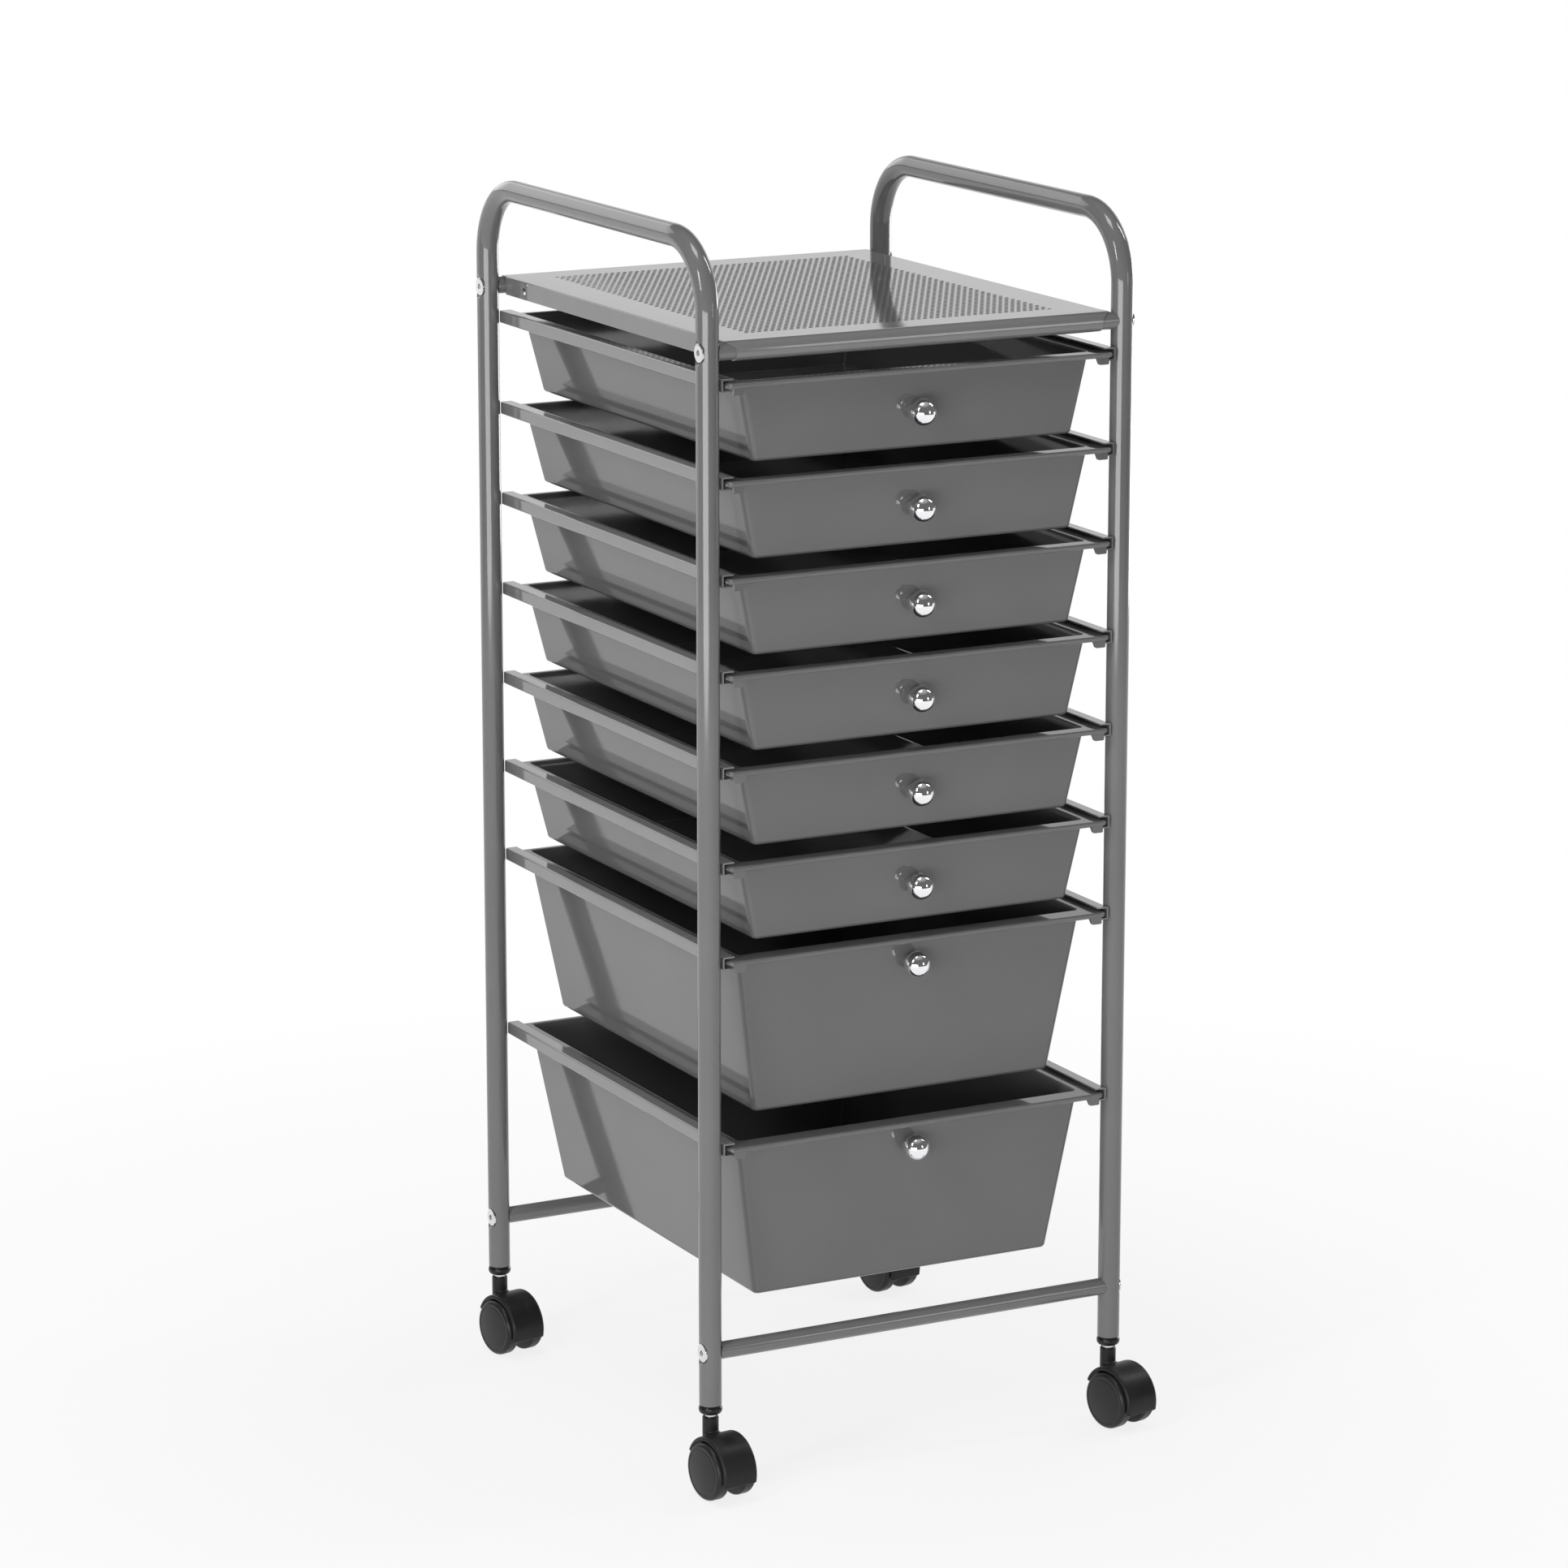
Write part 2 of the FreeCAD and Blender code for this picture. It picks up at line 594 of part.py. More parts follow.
def drawer_rim(body, level, kind):
    """The flat rim, its rounded front, the runners below its sides and two stop tabs."""
    top = -d("rim_drop")
    in_wall = d("drawer_wall") / 2
    mouth_front = -d(f"{kind}_mouth_front") + in_wall
    flange = new_sketch(body, "XY_Plane", f"rim_plan_{level}", top)
    rounded_loop(flange, d("rim_half"), -d("rim_front") + in_wall * 2, d("rim_rear"), as_size(0.5), as_size(6))
    rounded_loop(flange, d("mouth_half") - in_wall, mouth_front, d("mouth_rear") - in_wall,
                 d("corner_front") - in_wall, d("corner_rear") - in_wall)
    pad(body, flange, f"rim_flange_{level}", d("rim_thick"), backwards=True)

    nose_radius = d("rim_nose") / 2
    nose_centre = -d("rim_front") + nose_radius
    nose = new_sketch(body, "YZ_Plane", f"nose_section_{level}")
    outline(nose, [
        Corner(mouth_front, top),
        Corner(nose_centre, top),
        Bend(-d("rim_front"), top - nose_radius, nose_centre - nose_radius * 0.7071,
             top - nose_radius * 0.2929, nose_radius),
        Bend(nose_centre, top - d("rim_nose"), nose_centre - nose_radius * 0.7071,
             top - nose_radius * 1.7071, nose_radius),
        Corner(mouth_front, top - d("rim_nose")),
    ])
    pad(body, nose, f"rim_nose_{level}", d("rim_half") * 2, symmetric=True)

    below_flange = top - d("rim_thick") / 2
    runners = new_sketch(body, "XY_Plane", f"runner_plan_{level}", below_flange)
    tabs = new_sketch(body, "XY_Plane", f"tab_plan_{level}", below_flange)
    for sign in WIDTH_SIDES.values():
        rectangle(runners, (d("rim_half") - d("runner_thick")) * sign, d("rim_half") * sign,
                  -d("runner_front"), d("rim_rear") - 6)
        rectangle(tabs, d("tab_inner") * sign, d("tab_outer") * sign,
                  nose_centre - 1, nose_centre + d("tab_deep") - 1)
    pad(body, runners, f"runners_{level}", d("runner_drop") + below_flange, backwards=True)
    pad(body, tabs, f"tabs_{level}", d("tab_drop") + below_flange, backwards=True)


def knob_seat(kind):
    """Where the knob's flat pads lie, outside and inside the drawer front."""
    depth = d(f"{kind}_deep")
    drop = d(f"{kind}_knob_drop")
    lean = d(f"{kind}_mouth_front") - d(f"{kind}_floor_front")
    share = (depth - drop) / (depth - d("rim_drop"))
    face = -(d(f"{kind}_floor_front") + lean * share)
    return face - d("knob_pad_proud"), face + d("drawer_wall") + d("knob_pad_proud")


def drawer(level):
    """A drawer, its knob and the screw that holds the knob from inside."""
    kind = "shallow" if level <= SHALLOW_LEVELS else "deep"
    drop = d(f"{kind}_knob_drop")
    outside, inside = knob_seat(kind)
    body = new_body(f"drawer_{level}")
    drawer_tub(body, level, kind)
    drawer_rim(body, level, kind)
    seat = new_sketch(body, "XZ_Plane", f"knob_seat_{level}", -outside)
    ring(seat, 0, -drop, d("knob_pad_dia") / 2)
    pad(body, seat, f"knob_pad_{level}", inside - outside, backwards=True)
    hole = new_sketch(body, "XZ_Plane", f"screw_hole_{level}", -outside)
    ring(hole, 0, -drop, d("screw_hole") / 2)
    pocket(body, hole, f"screw_hole_cut_{level}", inside - outside + 1)
    place(body, z=rail_top(level))
    keep(body, f"drawer_{level}")
    place(knob(level), 0, outside, rail_top(level) - drop)
    place(knob_screw(level), 0, inside, rail_top(level) - drop)


def knob(level):
    """A ball on a short neck, with a blind screw hole."""
    ball = d("knob_dia") / 2
    neck = d("knob_neck_dia") / 2
    hole = d("knob_hole_dia") / 2
    centre = d("knob_neck_long") + root(ball * ball - neck * neck)
    body = new_body(f"knob_{level}")
    profile = new_sketch(body, "XY_Plane", f"knob_profile_{level}")
    outline(profile, [
        Corner(hole, 0),
        Corner(neck, 0),
        Corner(neck, -d("knob_neck_long")),
        Bend(0, -centre - ball, ball, -centre, ball),
        Corner(0, -d("knob_hole_deep")),
        Corner(hole, -d("knob_hole_deep")),
    ])
    revolve(body, profile, "V_Axis", f"knob_turned_{level}")
    return keep(body, f"knob_{level}")


def knob_screw(level):
    """A pan-head screw that runs forwards from the inside of the drawer."""
    shank = d("screw_dia") / 2
    head = d("screw_head_dia") / 2
    crown = d("screw_head_high")
    body = new_body(f"knob_screw_{level}")
    profile = new_sketch(body, "XY_Plane", f"screw_profile_{level}")
    outline(profile, [
        Corner(0, -d("screw_long")),
        Corner(shank, -d("screw_long")),
        Corner(shank, 0),
        Corner(head, 0),
        Corner(head, crown * 0.5),
        Bend(head - crown * 0.5, crown, head - crown * 0.1464, crown * 0.8536, crown * 0.5),
        Corner(0, crown),
    ])
    revolve(body, profile, "V_Axis", f"screw_turned_{level}")
    return keep(body, f"knob_screw_{level}")


# Casters: a socket in the leg, a stem and an axle, a hooded housing and two wheels each.
def caster_socket(corner):
    sleeve = tube_radius - d("tube_wall") - d("seat_gap")
    bore = d("stem_dia") / 2 + d("running_gap")
    collar = d("collar_dia") / 2
    round_off = d("collar_high") * 0.5
    body = new_body(f"socket_{corner}")
    profile = new_sketch(body, "XZ_Plane", f"socket_profile_{corner}")
    outline(profile, [
        Corner(bore, -d("collar_high")),
        Corner(collar - round_off, -d("collar_high")),
        Bend(collar, round_off - d("collar_high"), collar - round_off * 0.2929,
             round_off * 0.2929 - d("collar_high"), round_off),
        Corner(collar, -d("collar_high") * 0.2),
        Corner(collar - 0.6, -d("seat_gap")),
        Corner(sleeve, -d("seat_gap")),
        Corner(sleeve, d("socket_long")),
        Corner(bore, d("socket_long")),
    ])
    revolve(body, profile, "V_Axis", f"socket_turned_{corner}")
    return body


def caster_housing(corner):
    """Hood, middle web and neck in one moulding, with a well cut for each wheel."""
    axle = d("wheel_dia") / 2
    outer = d("hood_outer")
    trail = d("caster_trail")
    front_low = d("hood_front_low")
    rear_high = d("hood_rear_high")
    front_reach = root(outer * outer - front_low * front_low)
    rear_reach = root(outer * outer - rear_high * rear_high)
    body = new_body(f"housing_{corner}")
    side = new_sketch(body, "YZ_Plane", f"housing_side_{corner}")
    outline(side, [
        Corner(-trail - front_reach, axle - front_low),
        Bend(-trail + rear_reach, axle + rear_high, -trail, axle + outer, outer),
        Corner(-trail + outer * 0.65, axle + rear_high),
        Corner(-trail + outer * 0.65, axle - outer * 0.25),
        Corner(-trail - outer * 0.5, axle - outer * 0.25),
        Corner(-trail - outer * 0.6, axle - front_low),
    ])
    pad(body, side, f"hood_{corner}", d("hood_half") * 2, symmetric=True)
    neck = new_sketch(body, "XY_Plane", f"neck_plan_{corner}", d("neck_foot") - 5)
    ring(neck, 0, 0, d("neck_dia") / 2)
    pad(body, neck, f"neck_{corner}", d("neck_top") - d("neck_foot") + 5)
    for well_side, sign in WIDTH_SIDES.items():
        well = new_sketch(body, "YZ_Plane", f"well_{corner}_{well_side}", d("web_half") * sign)
        ring(well, -trail, axle, d("hood_inner"))
        pocket(body, well, f"wheel_well_{corner}_{well_side}", d("hood_half"), backwards=sign > 0)
    stem_bore = new_sketch(body, "XY_Plane", f"stem_bore_{corner}", d("neck_top"))
    ring(stem_bore, 0, 0, d("stem_dia") / 2 + d("seat_gap"))
    pocket(body, stem_bore, f"stem_bore_cut_{corner}", d("neck_top") - d("stem_foot"))
    axle_hole = new_sketch(body, "YZ_Plane", f"axle_hole_{corner}")
    ring(axle_hole, -trail, axle, d("axle_dia") / 2 + d("seat_gap"))
    rough = pocket(body, axle_hole, f"axle_hole_cut_{corner}", d("hood_half") * 2, symmetric=True)

    def hood_rim(edge):
        on_side = abs(abs(edge.BoundBox.XMin) - d("hood_half").value) < 0.01 and edge.BoundBox.XLength < 0.01
        return on_side and edge.BoundBox.ZMax > axle.value + outer.value - 0.01

    fillet(body, rough, f"hood_edges_{corner}", 1.4, hood_rim)
    return keep(body, f"caster_{corner}_housing")


def caster_pins(corner, x, y, turn):
    """The stem in the leg's socket and the axle through the web."""
    stem = doc.addObject("Part::Cylinder", f"stem_{corner}")
    bind(stem, "Radius", d("stem_dia") / 2)
    bind(stem, "Height", d("stem_top") - d("stem_foot") - d("seat_gap"))
    place(stem, x, y, d("stem_foot") + d("seat_gap"))
    axle = doc.addObject("Part::Cylinder", f"axle_{corner}")
    bind(axle, "Radius", d("axle_dia") / 2)
    bind(axle, "Height", d("axle_half") * 2)
    lying = FreeCAD.Rotation(FreeCAD.Vector(0, 1, 0), 90)
    axle.Placement.Rotation = FreeCAD.Rotation(FreeCAD.Vector(0, 0, 1), turn.value) * lying
    reach_x = d("caster_trail") * sine(turn) - d("axle_half") * cosine(turn)
    reach_y = -d("caster_trail") * cosine(turn) - d("axle_half") * sine(turn)
    place(axle, x + reach_x, y + reach_y, d("wheel_dia") / 2)
    bundle(f"caster_{corner}_pins", [stem, axle])


def caster_wheel(corner, side):
    """A solid wheel with a rounded tread edge, a slightly domed face and a blind bore."""
    radius = d("wheel_dia") / 2
    bore = d("axle_dia") / 2 + d("running_gap")
    blind = d("axle_half") + 0.5
    edge = d("wheel_edge")
    face = d("wheel_outer") - d("wheel_dome")
    flat = radius - edge
    dome_radius = (flat * flat + d("wheel_dome") * d("wheel_dome")) / (d("wheel_dome") * 2)
    body = new_body(f"wheel_{corner}_{side}")
    profile = new_sketch(body, "XY_Plane", f"wheel_profile_{corner}_{side}")
    outline(profile, [
        Corner(d("wheel_inner"), bore),
        Corner(d("wheel_inner"), radius - 1.5),
        Bend(d("wheel_inner") + 1.5, radius, d("wheel_inner") + 0.4393, radius - 0.4393, as_size(1.5)),
        Corner(face - edge, radius),
        Bend(face, flat, face - edge * 0.2929, radius - edge * 0.2929, edge),
        Bend(d("wheel_outer"), 0, d("wheel_outer") - d("wheel_dome") * 0.25, flat * 0.5, dome_radius),
        Corner(blind, 0),
        Corner(blind, bore),
    ])
    revolve(body, profile, "H_Axis", f"wheel_turned_{corner}_{side}")
    return keep(body, f"caster_{corner}_wheel_{side}")


def turned(body, angle):
    body.Placement.Rotation = FreeCAD.Rotation(FreeCAD.Vector(0, 0, 1), angle)
    return body


def casters():
    """Four casters at the legs, each turned a little about its own stem."""
    sockets = []
    for depth_name, depth in DEPTH_SIDES.items():
        for width_name, width_sign in WIDTH_SIDES.items():
            corner = f"{depth_name}_{width_name}"
            x = half_width * width_sign
            turn = d(f"turn_{corner}")
            socket = caster_socket(corner)
            place(socket, x, depth, d("leg_bottom"))
            sockets.append(socket)
            place(turned(caster_housing(corner), turn.value), x, depth, 0)
            caster_pins(corner, x, depth, turn)
            axle_x = x + d("caster_trail") * sine(turn)
            axle_y = depth - d("caster_trail") * cosine(turn)
            for side, sign in WIDTH_SIDES.items():
                wheel = turned(caster_wheel(corner, side), turn.value + (0 if sign > 0 else 180))
                place(wheel, axle_x, axle_y, d("wheel_dia") / 2)
    bundle("caster_sockets", sockets)


for side, sign in WIDTH_SIDES.items():
    side_frame(side, sign)
frame_fastening()
top_shelf()
for level in range(1, LEVELS + 1):
    rail_pair(level)
    drawer(level)
casters()
doc.recompute()

for thing in doc.Objects:
    if "Invalid" in thing.State or "Error" in thing.State:
        raise RuntimeError(f"{thing.Name} failed: {thing.State}")
for piece in pieces:
    if piece.Shape.isNull() or not piece.Shape.isValid():
        raise RuntimeError(f"{piece.Label} has no valid shape")
os.makedirs("parts", exist_ok=True)
for piece in pieces:
    piece.Shape.exportStep(os.path.join("parts", f"{piece.Label}.step"))
    box = piece.Shape.BoundBox
    spans = f"x {box.XMin:.1f} {box.XMax:.1f}, y {box.YMin:.1f} {box.YMax:.1f}, z {box.ZMin:.1f} {box.ZMax:.1f}"
    print(f"{piece.Label}: {len(piece.Shape.Solids)} solids, {piece.Shape.Volume:.0f} mm3, {spans}")
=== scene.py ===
"""Looks of the rolling drawer cart: its visible pieces and finishes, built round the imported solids.

Sizes are in millimetres. The y of a point is counted from the middle of the legs until a mesh is made.
"""
import logging
import math
from dataclasses import dataclass, field
from enum import Enum

import bmesh
import bpy
import numpy as np
from mathutils import Matrix, Vector


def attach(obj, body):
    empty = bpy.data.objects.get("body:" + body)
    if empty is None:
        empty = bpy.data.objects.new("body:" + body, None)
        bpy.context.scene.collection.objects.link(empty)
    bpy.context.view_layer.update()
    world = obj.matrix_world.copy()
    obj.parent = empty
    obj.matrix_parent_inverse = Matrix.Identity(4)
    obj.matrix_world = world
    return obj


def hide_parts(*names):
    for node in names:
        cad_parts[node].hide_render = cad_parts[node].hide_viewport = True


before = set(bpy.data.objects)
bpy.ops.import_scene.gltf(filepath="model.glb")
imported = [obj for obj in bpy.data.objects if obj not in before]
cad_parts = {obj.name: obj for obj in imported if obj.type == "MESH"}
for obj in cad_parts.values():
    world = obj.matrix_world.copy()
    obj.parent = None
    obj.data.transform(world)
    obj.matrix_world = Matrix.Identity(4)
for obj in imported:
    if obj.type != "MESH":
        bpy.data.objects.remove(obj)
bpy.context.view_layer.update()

log = logging.getLogger("drawer_cart")

Array = np.ndarray
Point = tuple[float, float, float]
Four = tuple[float, float, float, float]
Socket = bpy.types.NodeSocket

MM = 0.001
WELD = 2e-6
NORMAL_WEIGHT = 80
UPRIGHT = 0.9
SETBACK = 16.0
LEG_X = 157.0
LEG_Y = 171.5
LEG_BOTTOM = 62.0
BAR_HEIGHTS = {"top": 783.5, "bottom": 99.0}
RAIL_TOPS = (766.0, 701.0, 636.0, 571.0, 506.0, 441.0, 376.0, 246.0)
FIRST_DEEP_LEVEL = 7
FIXED_BODY = "frame"
TO_FRONT = (0, -1, 0)
TO_REAR = (0, 1, 0)
UP = (0, 0, 1)
WHITE = (1.0, 1.0, 1.0, 1.0)


class Way(Enum):
    """A direction that has a sign."""

    @property
    def label(self) -> str:
        """How node names spell it."""
        return self.name.lower()


class Side(Way):
    """Left and right of the cart, as signs along x."""

    LEFT = -1
    RIGHT = 1


class End(Way):
    """Front and rear of the cart, as signs along y."""

    FRONT = -1
    REAR = 1


class Drive(Enum):
    """Recess for the tool in a screw's head, as the number of its sides or arms."""

    HEXAGON = 6
    CROSS = 4


# Surfaces


def joined(x: Array, y: Array, z: Array) -> Array:
    """Points from three coordinates that are spread over their common shape."""
    return np.stack(np.broadcast_arrays(x, y, z), -1)


def ring_angles(count: int) -> Array:
    """Even angles once round, in radians."""
    return np.linspace(0, 2 * np.pi, count, endpoint=False)


def arc(centre: tuple[float, float], radius: float, start: float, end: float, count: int) -> Array:
    """Points on a circle's arc: centre plus radius times the cosine and sine of an evenly stepped angle.

    Args:
        centre: Middle of the circle.
        radius: Its radius.
        start: First angle in degrees.
        end: Last angle in degrees.
        count: How many points.

    Returns:
        Points of shape (count, 2).
    """
    angle = np.radians(np.linspace(start, end, count))
    return np.stack([centre[0] + radius * np.cos(angle), centre[1] + radius * np.sin(angle)], -1)


def rounded_box(low: tuple[float, float], high: tuple[float, float], radii: Four, count: int = 4) -> Array:
    """Outline of a rectangle whose corners are quarter arcs.

    Args:
        low: Lower left corner.
        high: Upper right corner.
        radii: Corner radii, from the lower left corner anticlockwise.
        count: Points in each corner.

    Returns:
        Closed outline of shape (4 * count, 2), anticlockwise.
    """
    a, b, c, d = radii
    return np.concatenate([
        arc((low[0] + a, low[1] + a), a, 180, 270, count),
        arc((high[0] - b, low[1] + b), b, 270, 360, count),
        arc((high[0] - c, high[1] - c), c, 0, 90, count),
        arc((low[0] + d, high[1] - d), d, 90, 180, count),
    ])


def smooth_step(share: Array) -> Array:
    """Goes from 0 to 1 with level ends: 3 s squared less 2 s cubed, s held between 0 and 1."""
    held = np.clip(share, 0, 1)
    return held * held * (3 - 2 * held)


def ring_headings(axis: Point, count: int) -> Array:
    """Unit directions square to an axis, evenly turned about it.

    Args:
        axis: Direction of the axis.
        count: How many directions.

    Returns:
        Directions of shape (count, 3).
    """
    along = np.array(axis, float) / np.linalg.norm(axis)
    helper = np.array([0, 0, 1.0]) if abs(along[2]) < UPRIGHT else np.array([1.0, 0, 0])
    first = np.cross(helper, along)
    first /= np.linalg.norm(first)
    second = np.cross(along, first)
    turn = ring_angles(count)[:, None]
    return np.cos(turn) * first + np.sin(turn) * second


def turned(profile: Array, base: Point, axis: Point, count: int = 40) -> Array:
    """A turned surface: base, plus the profile's height along the axis, plus its radius round the axis.

    Args:
        profile: Heights and radii, of shape (rows, 2) or with radii that differ round the axis,
            of shape (rows, 1 + count).
        base: Point on the axis where heights start.
        axis: Direction of the axis.
        count: Points round the axis.

    Returns:
        Grid of shape (rows, count, 3), closed round the axis.
    """
    along = np.array(axis, float) / np.linalg.norm(axis)
    around = ring_headings(axis, count)
    return np.array(base, float) + profile[:, :1, None] * along + profile[:, 1:, None] * around


def spun(points: Array, degrees: float, x: float, y: float) -> Array:
    """Turns points about the z axis and then moves them by x and y."""
    cos, sin = math.cos(math.radians(degrees)), math.sin(math.radians(degrees))
    matrix = np.array([[cos, sin, 0], [-sin, cos, 0], [0, 0, 1]])
    return points @ matrix + (x, y, 0)


def tray_loops(half: Array, front: Array, rear: Array, front_radius: Array, rear_radius: Array,
               steps: int) -> tuple[Array, Array]:
    """Rounded rectangles seen from above, one for each row: four quarter arcs joined by straight runs.

    Args:
        half: Half width of each row.
        front: Reach of each row towards the front.
        rear: Reach of each row towards the rear.
        front_radius: Radius of the two front corners.
        rear_radius: Radius of the two rear corners.
        steps: Points in each corner.

    Returns:
        Points of shape (rows, 4 * steps, 2) and the outward directions of shape (4 * steps, 2).
    """
    half, front, rear, near, far = np.broadcast_arrays(
        *(np.atleast_1d(np.asarray(size, float)) for size in (half, front, rear, front_radius, rear_radius)))
    quarter = np.radians(np.linspace(0, 90, steps))
    angle = (np.radians([0, 90, 180, 270])[:, None] + quarter).ravel()
    heading = np.stack([np.cos(angle), np.sin(angle)], -1)
    radius = np.repeat(np.stack([far, far, near, near], 1), steps, axis=1)
    middle_x = np.repeat(np.stack([half - far, far - half, near - half, half - near], 1), steps, axis=1)
    middle_y = np.repeat(np.stack([rear - far, rear - far, near - front, near - front], 1), steps, axis=1)
    return np.stack([middle_x, middle_y], -1) + radius[..., None] * heading, heading


class Shape:
    """Points and faces of one piece, gathered surface by surface in millimetres."""

    def __init__(self) -> None:
        """Starts with nothing in it."""
        self.points: list[Array] = []
        self.faces: list[Array] = []
        self.total = 0

    def add(self, points: Array, faces: Array) -> None:
        """Takes in points and the faces that index them, of shape (faces, corners)."""
        flat = points.reshape(-1, 3)
        self.points.append(flat)
        self.faces.append(faces + self.total)
        self.total += len(flat)

    def grid(self, points: Array, ring: bool = False, closed: bool = False,
             keep: Array | None = None) -> None:
        """Joins neighbouring points of a grid by four-sided faces.

        Args:
            points: Grid of shape (rows, columns, 3).
            ring: Whether the last column joins the first.
            closed: Whether the last row joins the first.
            keep: Which faces stay, as a mask over rows and columns of faces.
        """
        rows, columns = points.shape[:2]
        index = np.arange(rows * columns).reshape(rows, columns)
        if closed:
            index = np.vstack([index, index[:1]])
        if ring:
            index = np.hstack([index, index[:, :1]])
        quads = np.stack([index[:-1, :-1], index[:-1, 1:], index[1:, 1:], index[1:, :-1]], -1)
        self.add(points, quads.reshape(-1, 4) if keep is None else quads[keep])

    def lid(self, loop: Array) -> None:
        """Closes a loop of points with one flat face."""
        self.add(loop, np.arange(len(loop))[None])

    def loft(self, loops: Array) -> None:
        """A closed body through loops of shape (rows, points, 3), with a lid at each end."""
        self.grid(loops, ring=True)
        self.lid(loops[0])
        self.lid(loops[-1])

    def bar(self, section: Array, start: float, end: float) -> None:
        """A body whose outline in x and z runs straight from one y to another."""
        self.loft(joined(section[:, 0], np.array([[start], [end]]), section[:, 1]))

    def pipe(self, outer: Array, inner: Array) -> None:
        """A tube between two skins of shape (rings, points, 3), which meet at both ends."""
        self.grid(np.concatenate([outer, inner[::-1]]), ring=True, closed=True)

    def made(self, name: str, sheet: float = 0.0, crease: float = 32.0) -> bpy.types.Object:
        """Makes the mesh: welds it, turns its faces outwards and shades it smooth up to a crease angle.

        Args:
            name: Name of the new object.
            sheet: Thickness to give an open sheet, below its upper skin; 0 for closed bodies.
            crease: Angle in degrees from which an edge is sharp.

        Returns:
            The new object, at the origin with its place in its mesh.
        """
        points = (np.concatenate(self.points) + (0, SETBACK, 0)) * MM
        faces = [face for group in self.faces for face in group.tolist()]
        mesh = bpy.data.meshes.new(name)
        mesh.from_pydata(points.tolist(), [], faces)
        work = bmesh.new()
        work.from_mesh(mesh)
        bmesh.ops.remove_doubles(work, verts=work.verts[:], dist=WELD)
        bmesh.ops.recalc_face_normals(work, faces=work.faces[:])
        if sheet:
            work.normal_update()
            if sum(face.normal.z * face.calc_area() for face in work.faces) < 0:
                bmesh.ops.reverse_faces(work, faces=work.faces[:])
            bmesh.ops.solidify(work, geom=work.faces[:], thickness=sheet * MM)
            bmesh.ops.recalc_face_normals(work, faces=work.faces[:])
        work.to_mesh(mesh)
        work.free()
        mesh.shade_smooth()
        mesh.set_sharp_from_angle(angle=math.radians(crease))
        piece = bpy.data.objects.new(name, mesh)
        bpy.context.scene.collection.objects.link(piece)
        level = piece.modifiers.new("level_faces", "WEIGHTED_NORMAL")
        level.keep_sharp = True
        level.weight = NORMAL_WEIGHT
        return piece


# Finishes


class Graph:
    """Adds nodes to one node tree, with their settings and inputs in one call."""

    def __init__(self, tree: bpy.types.NodeTree) -> None:
        """Holds the tree."""
        self.tree = tree

    def add(self, kind: str, inputs: dict[str | int, object] | None = None,
            **settings: object) -> bpy.types.Node:
        """Adds one node.

        Args:
            kind: Blender's type name of the node.
            inputs: Values or output sockets, by input name or number.
            settings: Properties of the node itself.

        Returns:
            The new node.
        """
        made = self.tree.nodes.new(kind)
        for key, value in settings.items():
            setattr(made, key, value)
        for key, value in (inputs or {}).items():
            if isinstance(value, Socket):
                self.link(value, made.inputs[key])
            else:
                made.inputs[key].default_value = value
        return made

    def link(self, start: Socket, end: Socket) -> None:
        """Joins an output to an input."""
        self.tree.links.new(start, end)

    def place(self) -> Socket:
        """The place on the object, in its own coordinates."""
        return self.add("ShaderNodeTexCoord").outputs["Object"]

    def math(self, operation: str, *values: object, clamp: bool = False) -> Socket:
        """The result of a sum on values or sockets."""
        made = self.add("ShaderNodeMath", dict(enumerate(values)), operation=operation, use_clamp=clamp)
        return made.outputs[0]

    def ranged(self, value: Socket, start: float, end: float, low: object = 0.0,
               high: object = 1.0) -> Socket:
        """A value stretched from one range to another, and held at its ends."""
        made = self.add("ShaderNodeMapRange", {
            "Value": value, "From Min": start, "From Max": end, "To Min": low, "To Max": high})
        return made.outputs[0]

    def along(self, place: Socket, heading: Point) -> Socket:
        """How far a place lies along a heading."""
        made = self.add("ShaderNodeVectorMath", {0: place, 1: heading}, operation="DOT_PRODUCT")
        return made.outputs["Value"]

    def noise(self, size: Socket, detail: float) -> Socket:
        """Noise over the object, from 0 to 1."""
        made = self.add("ShaderNodeTexNoise", {"Vector": self.place(), "Scale": size, "Detail": detail})
        return made.outputs[0]

    def effect(self, tree: bpy.types.NodeTree, **values: object) -> Socket:
        """Places a shared effect with its own values and returns its first output."""
        return self.add("ShaderNodeGroup", values, node_tree=tree).outputs[0]

    def blend(self, share: object, first: object, second: object) -> Socket:
        """Mixes two colours by a share and returns the mixed colour."""
        made = self.add("ShaderNodeMix", {0: share, 6: first, 7: second}, data_type="RGBA")
        return made.outputs[2]


def new_effect(name: str, inputs: dict[str, float],
               output: str) -> tuple[Graph, bpy.types.Node, bpy.types.Node]:
    """Starts a shader node group.

    Args:
        name: Name of the group.
        inputs: Names and first values of its inputs.
        output: Name of its one output.

    Returns:
        The group's graph, its input node and its output node.
    """
    tree = bpy.data.node_groups.new(name, "ShaderNodeTree")
    for key, value in inputs.items():
        socket = tree.interface.new_socket(name=key, in_out="INPUT", socket_type="NodeSocketFloat")
        socket.default_value = value
    tree.interface.new_socket(name=output, in_out="OUTPUT", socket_type="NodeSocketFloat")
    graph = Graph(tree)
    return graph, graph.add("NodeGroupInput"), graph.add("NodeGroupOutput")


